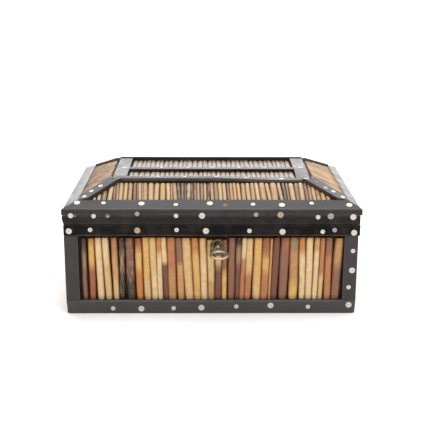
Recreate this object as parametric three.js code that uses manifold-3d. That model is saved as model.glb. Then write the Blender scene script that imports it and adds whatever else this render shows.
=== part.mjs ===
// A quill box: ebony rails and posts round a wooden carcass, panels of quills laid side by side,
// and a hipped lid on two brass butt hinges, with a key standing in its lock.
// Millimetres, +Z up, the front faces -Y. The origin is the centre of the underside.
import * as THREE from "three";
import { mergeVertices } from "three/addons/utils/BufferGeometryUtils.js";
import Module from "manifold-3d";

const wasm = await Module();
wasm.setup();

// Base: overall size, and the sections of its boards, rails and posts.
const BOX_W = 265;
const BOX_D = 165;
const BASE_H = 84.9;
const FRAME_T = 7;
const BOARD_T = 5;
const BOTTOM_T = 6;
const BOTTOM_RAIL_H = 12.8;
const TOP_RAIL_H = 10.7;
const POST_W = 12.6;
const LIP = 0.8;
const PROUD_END = 1.3;
const GLUE = 0.12;

// Lid: the band under the roof, and the roof's own outline, which sits a little to the right.
// The front edge strip runs past the side ones in a small nose, and the right ledge is narrow.
// The flat top reaches less far to the front than to the back.
const SEAM = 0.7;
const BAND_TOP = 93.5;
const BAND_HALF_W = 133.4;
const BAND_HALF_D = 83.2;
const BAND_T = 12;
const ROOF_SHIFT = 0.6;
const NOSE_HALF_W = 134.5;
const NOSE = 1.8;
const EAVE_HALF_D = 83.2;
const EAVE_Z = 99.8;
const EAVE_EASE = 0.6;
const LEDGE_HALF_D = 69.8;
const LEDGE_RIGHT = 122.8;
const LEDGE_LEFT = 120.6;
const LEDGE_Z = 105;
const TOP_HALF_W = 92.2;
const TOP_FRONT_D = 42.9;
const TOP_BACK_D = 47.1;
const TOP_Z = 118.1;

// Roof: how deep the quills and the boards lie under the ledge's and the top's faces, square to them.
const LONG_QUILL_DROP = 1.6;
const SHORT_QUILL_DROP = 0.2;
const TOP_QUILL_DROP = 2.6;
const BOARD_DROP = 6.6;
const TOP_BOARD_DROP = 6.2;
const ROOF_BOARD_T = 4.5;
const HIP_W = 12;
const FRONT_HIP_DROP = 0.4;
const REAR_HIP_DROP = -0.2;
const TOP_RAIL_W = 12.6;
const FRONT_RAIL_W = 9.9;
const FRONT_RAIL_EASE = 1.6;
const MIDDLE_RAIL_W = 8.2;
const MIDDLE_RAIL_Y = -0.5;
const REAR_RAIL_Y = 45.2;
const REAR_RAIL_W = 6.5;
const REAR_RAIL_RISE = 1.1;
const ROOF_GAP = 0.3;
const STRIP_SEAT = 0.9;

// Quills: the spacing on each kind of panel, how far they stand over the board behind, how much
// their widths vary and in what rhythm, and the gap they leave at their heads.
const BASE_QUILL_PITCH = 6.85;
const SLOPE_QUILL_PITCH = 5;
const TOP_QUILL_PITCH = 4.67;
const BASE_QUILL_T = 5.4;
const QUILL_FACETS = 4;
const QUILL_HOLLOW = 0.5;
const QUILL_VARY = 0.16;
const BROAD_SHARE = 0.6;
const BROAD_STEP = 2.4;
const FINE_STEP = 5.3;
const BASE_HEAD_GAP = 1.6;
const SLOPE_HEAD_GAP = 0.9;

// Brass: the keyhole plate, the key and the two butt hinges.
const PLATE_X = 5.4;
const PLATE_W = 13;
const PLATE_BOTTOM_Z = 56;
const PLATE_TOP_Z = 71.4;
const PLATE_T = 1.2;
const PLATE_RIM = 1.5;
const PLATE_RIM_T = 0.7;
const ARCH_FACETS = 10;
const KEYHOLE_Z = 66.6;
const KEYHOLE_DEPTH = 1.4;
const BIT_SLOT_W = 2.2;
const BIT_SLOT_L = 7;
const KEY_R = 2;
const KEY_PLAY = 0.35;
const KEY_DROOP_DEG = 10;
const KEY_TURN_DEG = 4;
const KEY_IN = 8.5;
const KEY_OUT = 14.6;
const COLLAR_R = 2.7;
const COLLAR_T = 1.6;
const BOW_W = 17.6;
const BOW_L = 16;
const BOW_BAR = 2.5;
const BOW_T = 2.1;
const BOW_FACETS = 24;
const ROUND_FACETS = 12;
const HINGE_X = 84;
const HINGE_L = 30;
const LEAF_T = 0.9;
const LEAF_DEPTH = 6.6;
const KNUCKLE_R = 1.9;
const PIN_R = 0.8;
const HINGE_OUT = 0.3;
const HINGE_PLAY = 0.3;

// A cutting solid stands out this far past what it cuts.
const SPARE = 1;

const LID_Z = BASE_H + SEAM;
const HINGE_Y = BAND_HALF_D + HINGE_OUT + KNUCKLE_R;
const HINGE_Z = BASE_H + SEAM / 2;
const MITRE = GLUE / 2;

const ebony = { color: 0x2b2724, roughness: 0.38, metalness: 0 };
const carcass = { color: 0x7a5638, roughness: 0.7, metalness: 0 };
const quill = { color: 0xc39a66, roughness: 0.4, metalness: 0 };
const brass = { color: 0x8f7d58, roughness: 0.45, metalness: 0.8 };

const root = new THREE.Group();
const base = new THREE.Group();
const lid = new THREE.Group();
const roof = new THREE.Group();
roof.position.x = ROOF_SHIFT;
root.add(base, lid);
lid.add(roof);

function piece(parent, name, geometry, finish, turn = 0) {
  const mesh = new THREE.Mesh(geometry, new THREE.MeshStandardMaterial(finish));
  mesh.name = name;
  mesh.rotation.z = turn;
  parent.add(mesh);
}

// Solids for cutting and joining.
function solidOf(geometry) {
  const bare = new THREE.BufferGeometry();
  const source = geometry.index ? geometry.toNonIndexed() : geometry;
  bare.setAttribute("position", source.getAttribute("position").clone());
  const merged = mergeVertices(bare, 1e-4);
  return new wasm.Manifold(
    new wasm.Mesh({
      numProp: 3,
      vertProperties: merged.attributes.position.array,
      triVerts: new Uint32Array(merged.index.array),
    }),
  );
}

function geometryOf(solid) {
  const mesh = solid.getMesh();
  const geometry = new THREE.BufferGeometry();
  const points = new Float32Array(mesh.vertProperties);
  geometry.setAttribute("position", new THREE.BufferAttribute(points, 3));
  geometry.setIndex(new THREE.BufferAttribute(new Uint32Array(mesh.triVerts), 1));
  return geometry;
}

function cut(geometry, ...tools) {
  return geometryOf(tools.reduce((left, tool) => left.subtract(solidOf(tool)), solidOf(geometry)));
}

function join(geometry, ...others) {
  return geometryOf(others.reduce((sum, other) => sum.add(solidOf(other)), solidOf(geometry)));
}

function common(geometry, other) {
  return geometryOf(solidOf(geometry).intersect(solidOf(other)));
}

// Blocks and prisms, given by their own limits.
function block(x0, x1, y0, y1, z0, z1) {
  const box = new THREE.BoxGeometry(x1 - x0, y1 - y0, z1 - z0);
  return box.translate((x0 + x1) / 2, (y0 + y1) / 2, (z0 + z1) / 2);
}

function outlineOf(points) {
  return new THREE.Shape(points.map(([u, v]) => new THREE.Vector2(u, v)));
}

function prismZ(points, z0, z1) {
  const flat = { depth: z1 - z0, bevelEnabled: false };
  return new THREE.ExtrudeGeometry(outlineOf(points), flat).translate(0, 0, z0);
}

function prismX(yzPoints, x0, x1) {
  const flat = { depth: x1 - x0, bevelEnabled: false };
  const axes = new THREE.Matrix4().makeBasis(
    new THREE.Vector3(0, 1, 0),
    new THREE.Vector3(0, 0, 1),
    new THREE.Vector3(1, 0, 0),
  );
  return new THREE.ExtrudeGeometry(outlineOf(yzPoints), flat).applyMatrix4(axes).translate(x0, 0, 0);
}

// The four sides, each built as if it were the front and turned into its place. The side before
// it in this round is then on its left and the side after it on its right.
const SIDES = [
  { side: "front", turn: 0, along: "x", before: "left", after: "right" },
  { side: "right", turn: Math.PI / 2, along: "y", before: "front", after: "back" },
  { side: "back", turn: Math.PI, along: "x", before: "right", after: "left" },
  { side: "left", turn: -Math.PI / 2, along: "y", before: "back", after: "front" },
];

function halves(along, halfW, halfD) {
  return along === "x" ? [halfW, halfD] : [halfD, halfW];
}

// Carcass of the base: a bottom board inside four wall boards.
const boardW = BOX_W / 2 - FRAME_T - GLUE;
const boardD = BOX_D / 2 - FRAME_T - GLUE;
const roomW = boardW - BOARD_T;
const roomD = boardD - BOARD_T;
piece(
  base,
  "base_bottom_board",
  block(-roomW + GLUE, roomW - GLUE, -roomD + GLUE, roomD - GLUE, 0, BOTTOM_T),
  carcass,
);

// The key's shaft, leaning down from the keyhole, is grown a little to make room in the front.
const keyholeY = -BOX_D / 2 + KEYHOLE_DEPTH;

function placeInKeyhole(geometry) {
  geometry.rotateZ(THREE.MathUtils.degToRad(KEY_TURN_DEG));
  geometry.rotateX(THREE.MathUtils.degToRad(KEY_DROOP_DEG));
  return geometry.translate(PLATE_X, keyholeY, KEYHOLE_Z);
}

function shaft(radius, inwards, outwards) {
  const bar = new THREE.CylinderGeometry(radius, radius, inwards + outwards, ROUND_FACETS);
  return placeInKeyhole(bar.translate(0, (inwards - outwards) / 2, 0));
}

const keyRoom = shaft(KEY_R + KEY_PLAY, KEY_IN + KEY_PLAY, KEY_OUT);

for (const { side, turn, along } of SIDES) {
  const [run, out] = halves(along, boardW, boardD);
  const reach = along === "x" ? run : run - BOARD_T - GLUE;
  const board = block(-reach, reach, -out, -out + BOARD_T, 0, BASE_H);
  piece(base, `base_${side}_board`, side === "front" ? cut(board, keyRoom) : board, carcass, turn);
}

// Ebony frame of the base: long rails at front and back, side rails between them, L-shaped posts.
// The edges round each panel have a fine lip, and the front top rail's right end stands proud.
function bottomRailSection(out) {
  return [
    [-out, 0],
    [-out + FRAME_T, 0],
    [-out + FRAME_T, BOTTOM_RAIL_H],
    [-out + LIP, BOTTOM_RAIL_H],
    [-out, BOTTOM_RAIL_H - LIP],
  ];
}

function topRailSection(out) {
  const low = BASE_H - TOP_RAIL_H;
  return [
    [-out + LIP, low],
    [-out + FRAME_T, low],
    [-out + FRAME_T, BASE_H],
    [-out, BASE_H],
    [-out, low + LIP],
  ];
}

for (const { side, turn, along } of SIDES) {
  const [run, out] = halves(along, BOX_W / 2, BOX_D / 2);
  const reach = along === "x" ? run : run - FRAME_T - GLUE;
  const proud = side === "front" ? PROUD_END : 0;
  const bottom = prismX(bottomRailSection(out), -reach, reach);
  const top = prismX(topRailSection(out), -reach, reach + proud);
  piece(base, `base_${side}_bottom_rail`, bottom, ebony, turn);
  piece(base, `base_${side}_top_rail`, side === "back" ? cut(top, ...leafBeds(base)) : top, ebony, turn);
}

const POSTS = [
  ["front_left", -1, -1],
  ["front_right", 1, -1],
  ["back_right", 1, 1],
  ["back_left", -1, 1],
];
const postZ0 = BOTTOM_RAIL_H + GLUE;
const postZ1 = BASE_H - TOP_RAIL_H - GLUE;
for (const [corner, sx, sy] of POSTS) {
  const outX = sx * (BOX_W / 2);
  const outY = sy * (BOX_D / 2);
  const points = [
    [outX, outY],
    [outX - sx * POST_W, outY],
    [outX - sx * POST_W, outY - sy * FRAME_T],
    [outX - sx * FRAME_T, outY - sy * FRAME_T],
    [outX - sx * FRAME_T, outY - sy * POST_W],
    [outX, outY - sy * POST_W],
  ];
  piece(base, `base_post_${corner}`, prismZ(points, postZ0, postZ1), ebony);
}

// Quills lie side by side with their round backs out. Their widths vary as natural quills do.
function quillWidths(length, pitch, start) {
  const count = Math.round(length / pitch);
  const raw = [];
  for (let i = 0; i < count; i++) {
    const broad = Math.sin(BROAD_STEP * i + start);
    const fine = Math.sin(FINE_STEP * i + 2 * start);
    raw.push(1 + QUILL_VARY * (BROAD_SHARE * broad + (1 - BROAD_SHARE) * fine));
  }
  const total = raw.reduce((sum, width) => sum + width, 0);
  return raw.map((width) => (width * length) / total);
}

// A row of quills from -length/2 to length/2, its back at height 0, run out along +Z.
function quillRow(length, pitch, thick, run, start) {
  const valley = thick * QUILL_HOLLOW;
  const points = [
    [-length / 2, 0],
    [length / 2, 0],
  ];
  let right = length / 2;
  points.push([right, valley]);
  for (const width of quillWidths(length, pitch, start)) {
    for (let i = 1; i <= QUILL_FACETS; i++) {
      const angle = (i / QUILL_FACETS) * Math.PI;
      const across = right - (width / 2) * (1 - Math.cos(angle));
      points.push([across, valley + (thick - valley) * Math.sin(angle)]);
    }
    right -= width;
  }
  const flat = { depth: run, bevelEnabled: false };
  return new THREE.ExtrudeGeometry(outlineOf(points), flat);
}

// Turned so that its run goes along down, from the point at, with its back towards the board.
function layRow(row, outwards, down, at) {
  const across = new THREE.Vector3().crossVectors(outwards, down);
  const place = new THREE.Matrix4().makeBasis(across, outwards, down).setPosition(at);
  return row.applyMatrix4(place);
}

for (const { side, turn, along } of SIDES) {
  const [run, out] = halves(along, BOX_W / 2, BOX_D / 2);
  const length = 2 * (run - POST_W - GLUE);
  const head = postZ1 - BASE_HEAD_GAP;
  const row = quillRow(length, BASE_QUILL_PITCH, BASE_QUILL_T, head - postZ0, out);
  const panel = layRow(
    row,
    new THREE.Vector3(0, -1, 0),
    new THREE.Vector3(0, 0, -1),
    new THREE.Vector3(0, -out + FRAME_T, head),
  );
  piece(base, `base_${side}_quills`, side === "front" ? cut(panel, keyRoom) : panel, quill, turn);
}

// Keyhole plate: round-topped, with a raised rim, pierced for the key and its bit.
function archPoints(halfWidth, z0, z1) {
  const points = [
    [-halfWidth, z0],
    [halfWidth, z0],
  ];
  for (let i = 0; i <= ARCH_FACETS; i++) {
    const angle = (i / ARCH_FACETS) * Math.PI;
    points.push([halfWidth * Math.cos(angle), z1 - halfWidth + halfWidth * Math.sin(angle)]);
  }
  return points;
}

function uprightPlate(points, y0, y1) {
  const flat = { depth: y1 - y0, bevelEnabled: false };
  const sheet = new THREE.ExtrudeGeometry(outlineOf(points), flat);
  return sheet.rotateX(Math.PI / 2).translate(PLATE_X, y1, 0);
}

const plateBack = -BOX_D / 2 + FRAME_T - BASE_QUILL_T - GLUE;
const plateFront = plateBack - PLATE_T;
const plateOutline = archPoints(PLATE_W / 2, PLATE_BOTTOM_Z, PLATE_TOP_Z);
const rimInside = archPoints(
  PLATE_W / 2 - PLATE_RIM,
  PLATE_BOTTOM_Z + PLATE_RIM,
  PLATE_TOP_Z - PLATE_RIM,
);
const rim = cut(
  uprightPlate(plateOutline, plateFront - PLATE_RIM_T, plateFront + PLATE_T / 2),
  uprightPlate(rimInside, plateFront - PLATE_RIM_T - SPARE, plateFront + PLATE_T),
);
const slotX0 = PLATE_X - BIT_SLOT_W / 2;
const slotX1 = PLATE_X + BIT_SLOT_W / 2;
const slotBottom = KEYHOLE_Z - BIT_SLOT_L;
const bitSlot = block(slotX0, slotX1, plateFront - SPARE, plateBack + SPARE, slotBottom, KEYHOLE_Z);
const collarRoom = shaft(COLLAR_R + KEY_PLAY, KEY_IN / 2, KEY_OUT / 2);
const plate = cut(join(uprightPlate(plateOutline, plateFront, plateBack), rim), collarRoom, bitSlot);
piece(base, "keyhole_plate", plate, brass);

// Key: a round shaft with a collar and a flat oval bow, level but for its droop.
function ovalPoints(halfX, halfY) {
  const points = [];
  for (let i = 0; i < BOW_FACETS; i++) {
    const angle = (i / BOW_FACETS) * 2 * Math.PI;
    points.push([halfX * Math.cos(angle), halfY * Math.sin(angle)]);
  }
  return points;
}

const bowRing = cut(
  prismZ(ovalPoints(BOW_W / 2, BOW_L / 2), -BOW_T / 2, BOW_T / 2),
  prismZ(ovalPoints(BOW_W / 2 - BOW_BAR, BOW_L / 2 - BOW_BAR), -BOW_T, BOW_T),
).translate(0, -KEY_OUT - BOW_L / 2 + BOW_BAR / 2, 0);
const collar = new THREE.CylinderGeometry(COLLAR_R, COLLAR_R, COLLAR_T, ROUND_FACETS);
const key = join(
  shaft(KEY_R, KEY_IN, KEY_OUT),
  placeInKeyhole(collar.translate(0, -KEY_OUT / 2, 0)),
  placeInKeyhole(bowRing),
);
piece(base, "key", key, brass);

// Butt hinges: leaves let into the back rail and the back band, three knuckles on one pin.
function leafBeds(body) {
  const low = body === base ? BASE_H - LEAF_T - GLUE : LID_Z - SPARE;
  const high = body === base ? BASE_H + SPARE : LID_Z + LEAF_T + GLUE;
  const reach = HINGE_L / 2 + GLUE;
  const outer = -BAND_HALF_D - SPARE;
  const inner = -BAND_HALF_D + LEAF_DEPTH + GLUE;
  return [-1, 1].map((s) => block(s * HINGE_X - reach, s * HINGE_X + reach, outer, inner, low, high));
}

function knuckle(x0, x1, radius) {
  const tube = new THREE.CylinderGeometry(radius, radius, x1 - x0, ROUND_FACETS);
  return tube.rotateZ(Math.PI / 2).translate((x0 + x1) / 2, HINGE_Y, HINGE_Z);
}

for (const [hand, s] of [
  ["left", -1],
  ["right", 1],
]) {
  const x0 = s * HINGE_X - HINGE_L / 2;
  const x1 = x0 + HINGE_L;
  const lidX0 = x0 + HINGE_L / 3;
  const lidX1 = x1 - HINGE_L / 3;
  const baseX0 = lidX0 - HINGE_PLAY;
  const baseX1 = lidX1 + HINGE_PLAY;
  const inner = BAND_HALF_D - LEAF_DEPTH;
  const edge = BAND_HALF_D - HINGE_OUT;
  const low = block(x0, x1, inner, HINGE_Y, BASE_H - LEAF_T, BASE_H);
  const room = block(baseX0, baseX1, edge, HINGE_Y + KNUCKLE_R, BASE_H - KNUCKLE_R, BASE_H + KNUCKLE_R);
  const baseLeaf = join(
    cut(low, room),
    knuckle(x0, baseX0, KNUCKLE_R),
    knuckle(baseX1, x1, KNUCKLE_R),
    knuckle(x0, x1, PIN_R),
  );
  piece(base, `base_hinge_leaf_${hand}`, baseLeaf, brass);
  const high = block(x0, x1, inner, edge, LID_Z, LID_Z + LEAF_T);
  const web = block(lidX0, lidX1, inner, HINGE_Y, LID_Z, LID_Z + LEAF_T);
  const lidLeaf = cut(
    join(high, web, knuckle(lidX0, lidX1, KNUCKLE_R)),
    knuckle(x0, x1, PIN_R + HINGE_PLAY),
  );
  piece(lid, `lid_hinge_leaf_${hand}`, lidLeaf, brass);
}

// Band of the lid: boards that stand on the seam, long ones at front and back.
for (const { side, turn, along } of SIDES) {
  const [run, out] = halves(along, BAND_HALF_W, BAND_HALF_D);
  const reach = along === "x" ? run : run - BAND_T - GLUE;
  const band = block(-reach, reach, -out, -out + BAND_T, LID_Z, BAND_TOP);
  piece(lid, `lid_${side}_band`, side === "back" ? cut(band, ...leafBeds(lid)) : band, ebony, turn);
}

// Where the roof's parts begin, from its middle line out: its nose line, the foot of the slope
// board inside the band, the inner edge of the ledge, and the flat top.
const boardFootW = BAND_HALF_W - BAND_T - ROOF_GAP;
const boardFootD = BAND_HALF_D - BAND_T - ROOF_GAP;
const long = { nose: EAVE_HALF_D, face: EAVE_HALF_D, foot: boardFootD, ledge: LEDGE_HALF_D };
const short = { nose: NOSE_HALF_W, face: NOSE_HALF_W - NOSE, top: TOP_HALF_W };
const OUTLINE = {
  front: { ...long, top: TOP_FRONT_D },
  right: { ...short, foot: boardFootW - ROOF_SHIFT, ledge: LEDGE_RIGHT },
  back: { ...long, top: TOP_BACK_D },
  left: { ...short, foot: boardFootW + ROOF_SHIFT, ledge: LEDGE_LEFT },
};

// A slope rises from its ledge to the top at a constant pitch. It is seen as the front one.
function pitchOf(side) {
  return Math.atan2(TOP_Z - LEDGE_Z, OUTLINE[side].ledge - OUTLINE[side].top);
}

function heightOn(side, y, drop) {
  const pitch = pitchOf(side);
  return LEDGE_Z + (y + OUTLINE[side].ledge) * Math.tan(pitch) - drop / Math.cos(pitch);
}

// How far along from the middle the hip towards a neighbour runs, at y, under the faces by drop.
function hipAt(side, neighbour, y, drop) {
  const here = pitchOf(side);
  const there = pitchOf(neighbour);
  const fall = drop / Math.cos(there) - drop / Math.cos(here);
  const inwards = ((y + OUTLINE[side].ledge) * Math.tan(here) + fall) / Math.tan(there);
  return OUTLINE[neighbour].ledge - inwards;
}

// The ground plan of a slope between its two hips, drawn back by a margin square to the long way.
function slopePlan({ side, before, after }, y0, y1, drop, margin) {
  return [
    [-hipAt(side, before, y0, drop) + margin, y0],
    [hipAt(side, after, y0, drop) - margin, y0],
    [hipAt(side, after, y1, drop) - margin, y1],
    [-hipAt(side, before, y1, drop) + margin, y1],
  ];
}

// Slope boards and the top board, which carry the quills and close the lid above its hollow.
for (const place of SIDES) {
  const { side, turn, before, after } = place;
  const y0 = -OUTLINE[side].foot;
  const y1 = -OUTLINE[side].top;
  const x0 = -OUTLINE[before].foot;
  const x1 = OUTLINE[after].foot;
  const plank = prismX(
    [
      [y0, heightOn(side, y0, BOARD_DROP + ROOF_BOARD_T)],
      [y1, heightOn(side, y1, BOARD_DROP + ROOF_BOARD_T)],
      [y1, heightOn(side, y1, BOARD_DROP)],
      [y0, heightOn(side, y0, BOARD_DROP)],
    ],
    x0,
    x1,
  );
  const plan = slopePlan(place, y0 - SPARE, y1 + SPARE, BOARD_DROP, MITRE);
  piece(roof, `lid_${side}_slope_board`, common(plank, prismZ(plan, 0, TOP_Z)), carcass, turn);
}
const topBoardZ = TOP_Z - TOP_BOARD_DROP;
const topBoardW = TOP_HALF_W - ROOF_GAP;
const topBoardFront = TOP_FRONT_D - ROOF_GAP;
const topBoardBack = TOP_BACK_D - ROOF_GAP;
piece(
  roof,
  "lid_top_board",
  block(-topBoardW, topBoardW, -topBoardFront, topBoardBack, topBoardZ - ROOF_BOARD_T, topBoardZ),
  carcass,
);

// Edge strips round the lid: an upright face over the band, then one that slopes up to the ledge's
// inner edge. Each is bedded over a board's foot, or else under the feet of the quills.
for (const { side, turn, before, after } of SIDES) {
  const { nose, face, foot, ledge } = OUTLINE[side];
  const bedY = -foot - ROOF_GAP;
  const bedDrop = foot < ledge - ROOF_GAP ? BOARD_DROP : BOARD_DROP - STRIP_SEAT;
  const bottom = BAND_TOP + GLUE;
  const rise = (LEDGE_Z - EAVE_Z) / (nose - ledge);
  const arris = EAVE_Z + (nose - face) * rise;
  const section = [
    [-face, bottom + EAVE_EASE],
    [-face + EAVE_EASE, bottom],
    [bedY, bottom],
    [bedY, heightOn(side, bedY, bedDrop)],
    [-ledge, heightOn(side, -ledge, bedDrop)],
    [-ledge, LEDGE_Z],
    [-face + EAVE_EASE, arris + rise * EAVE_EASE],
    [-face, arris - EAVE_EASE],
  ];
  const mitreAt = (neighbour, y) => {
    const share = (nose + y) / (nose - ledge);
    return OUTLINE[neighbour].nose * (1 - share) + OUTLINE[neighbour].ledge * share - MITRE;
  };
  const inner = Math.max(bedY, -ledge) + SPARE;
  const plan = [
    [-mitreAt(before, -nose), -nose - SPARE],
    [mitreAt(after, -nose), -nose - SPARE],
    [mitreAt(after, -nose), -nose],
    [mitreAt(after, inner), inner],
    [-mitreAt(before, inner), inner],
    [-mitreAt(before, -nose), -nose],
  ];
  const end = side === "back" ? "face" : "nose";
  const strip = prismX(section, -OUTLINE[before][end], OUTLINE[after][end]);
  piece(roof, `lid_${side}_edge_strip`, common(strip, prismZ(plan, 0, TOP_Z)), ebony, turn);
}

// Hip strips: flat bars over the hips, bedded on the slope boards, from the ledge to the top. Each
// bar's section is drawn across it, with its height measured from the line where two faces meet.
function hipLine(sx, sy) {
  const hand = sx < 0 ? "left" : "right";
  const side = sy < 0 ? "front" : "back";
  const foot = new THREE.Vector3(sx * OUTLINE[hand].ledge, sy * LEDGE_HALF_D, LEDGE_Z);
  const head = new THREE.Vector3(sx * TOP_HALF_W, sy * OUTLINE[side].top, TOP_Z);
  const up = head.clone().sub(foot).normalize();
  const longPitch = pitchOf(side);
  const shortPitch = pitchOf(hand);
  const longFace = new THREE.Vector3(0, sy * Math.sin(longPitch), Math.cos(longPitch));
  const shortFace = new THREE.Vector3(sx * Math.sin(shortPitch), 0, Math.cos(shortPitch));
  const outwards = longFace.clone().add(shortFace).normalize();
  const across = new THREE.Vector3().crossVectors(outwards, up);
  const place = new THREE.Matrix4().makeBasis(across, outwards, up).setPosition(foot);
  return { place, length: foot.distanceTo(head), fall: Math.acos(longFace.dot(outwards)) };
}

function hipBar({ place, length }, section) {
  return prismZ(section, -HIP_W, length + HIP_W).applyMatrix4(place);
}

const rearEnd = REAR_RAIL_Y + REAR_RAIL_W;
const hipRooms = [];
for (const [corner, sx, sy] of POSTS) {
  const hip = hipLine(sx, sy);
  const keel = -(BOARD_DROP - 2 * ROOF_GAP) / Math.cos(hip.fall);
  const edge = keel - (HIP_W / 2) * Math.tan(hip.fall);
  const flat = sy < 0 ? -FRONT_HIP_DROP : -REAR_HIP_DROP;
  const bar = hipBar(hip, [
    [-HIP_W / 2, flat],
    [-HIP_W / 2, edge],
    [0, keel],
    [HIP_W / 2, edge],
    [HIP_W / 2, flat],
  ]);
  const inW = OUTLINE[sx < 0 ? "left" : "right"].ledge - ROOF_GAP;
  const inD = LEDGE_HALF_D - ROOF_GAP;
  const outW = TOP_HALF_W + ROOF_GAP;
  const outD = TOP_FRONT_D + ROOF_GAP;
  const high = sy < 0 ? TOP_Z : TOP_Z + REAR_RAIL_RISE / 2;
  const ledgeRoom = block(-inW, inW, -inD, inD, 0, high);
  const topRoom = block(-outW, outW, -outD, rearEnd + ROOF_GAP, 0, 2 * TOP_Z);
  piece(roof, `lid_hip_strip_${corner}`, cut(common(bar, ledgeRoom), topRoom), ebony);
  const reach = HIP_W / 2 + ROOF_GAP;
  const deep = [
    [-reach, -2 * HIP_W],
    [reach, -2 * HIP_W],
    [reach, HIP_W],
    [-reach, HIP_W],
  ];
  hipRooms.push(hipBar(hip, deep));
}

// Top rails: one along each edge and a narrower bar along the middle.
const railZ0 = topBoardZ + GLUE;
const sideIn = TOP_HALF_W - TOP_RAIL_W;
const frontIn = -TOP_FRONT_D + FRONT_RAIL_W;
const frontRail = [
  [-TOP_FRONT_D, railZ0],
  [frontIn, railZ0],
  [frontIn, TOP_Z],
  [-TOP_FRONT_D + FRONT_RAIL_EASE, TOP_Z],
  [-TOP_FRONT_D, TOP_Z - FRONT_RAIL_EASE],
];
piece(roof, "lid_top_rail_front", prismX(frontRail, -TOP_HALF_W, TOP_HALF_W), ebony);
const rearTop = TOP_Z + REAR_RAIL_RISE;
const rearBed = heightOn("back", -rearEnd, BOARD_DROP - ROOF_GAP);
const rearRail = [
  [REAR_RAIL_Y, railZ0],
  [TOP_BACK_D, railZ0],
  [rearEnd, rearBed + ROOF_GAP],
  [rearEnd, rearTop - REAR_RAIL_W * Math.tan(pitchOf("back"))],
  [REAR_RAIL_Y, rearTop],
];
piece(roof, "lid_top_rail_rear", prismX(rearRail, -TOP_HALF_W, TOP_HALF_W), ebony);
for (const [hand, s] of [
  ["left", -1],
  ["right", 1],
]) {
  const inner = s * sideIn;
  const outer = s * TOP_HALF_W;
  const rail = block(
    Math.min(inner, outer),
    Math.max(inner, outer),
    frontIn + GLUE,
    REAR_RAIL_Y - GLUE,
    railZ0,
    TOP_Z,
  );
  piece(roof, `lid_top_rail_${hand}`, rail, ebony);
}
const middle0 = MIDDLE_RAIL_Y - MIDDLE_RAIL_W / 2;
const middle1 = MIDDLE_RAIL_Y + MIDDLE_RAIL_W / 2;
const barReach = sideIn - GLUE;
piece(roof, "lid_top_rail_middle", block(-barReach, barReach, middle0, middle1, railZ0, TOP_Z), ebony);

// Quills on the slopes run up them, cut off at the hip strips. Those on the top run front to back.
for (const place of SIDES) {
  const { side, turn, along, before, after } = place;
  const pitch = pitchOf(side);
  const { ledge, top } = OUTLINE[side];
  const drop = along === "x" ? LONG_QUILL_DROP : SHORT_QUILL_DROP;
  const thick = BOARD_DROP - drop - ROOF_GAP;
  const headY = side === "back" ? -rearEnd - ROOF_GAP : -top - SLOPE_HEAD_GAP;
  const length = (ledge - top) / Math.cos(pitch) + 2 * SPARE;
  const start = new THREE.Vector3(0, -top + SPARE * Math.cos(pitch), 0);
  start.x = (OUTLINE[after].ledge - OUTLINE[before].ledge) / 2;
  start.z = heightOn(side, start.y, BOARD_DROP - ROOF_GAP);
  const width = OUTLINE[after].ledge + OUTLINE[before].ledge;
  const panel = layRow(
    quillRow(width, SLOPE_QUILL_PITCH, thick, length, ledge),
    new THREE.Vector3(0, -Math.sin(pitch), Math.cos(pitch)),
    new THREE.Vector3(0, -Math.cos(pitch), -Math.sin(pitch)),
    start,
  );
  const plan = slopePlan(place, -ledge + ROOF_GAP, headY, 0, 0);
  const laid = common(panel, prismZ(plan, 0, 2 * TOP_Z)).rotateZ(turn);
  piece(roof, `lid_${side}_slope_quills`, cut(laid, ...hipRooms), quill);
}
const topBays = [
  ["front", frontIn + GLUE, middle0 - GLUE],
  ["rear", middle1 + GLUE, REAR_RAIL_Y - GLUE],
];
for (const [bay, y0, y1] of topBays) {
  const thick = TOP_Z - TOP_QUILL_DROP - railZ0;
  const row = quillRow(2 * barReach, TOP_QUILL_PITCH, thick, y1 - y0, y1);
  const panel = layRow(
    row,
    new THREE.Vector3(0, 0, 1),
    new THREE.Vector3(0, -1, 0),
    new THREE.Vector3(0, y1, railZ0),
  );
  piece(roof, `lid_top_quills_${bay}`, panel, quill);
}

export default root;
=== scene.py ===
import math
import random

import bmesh
import bpy
from mathutils import Matrix, Vector, noise


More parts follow.
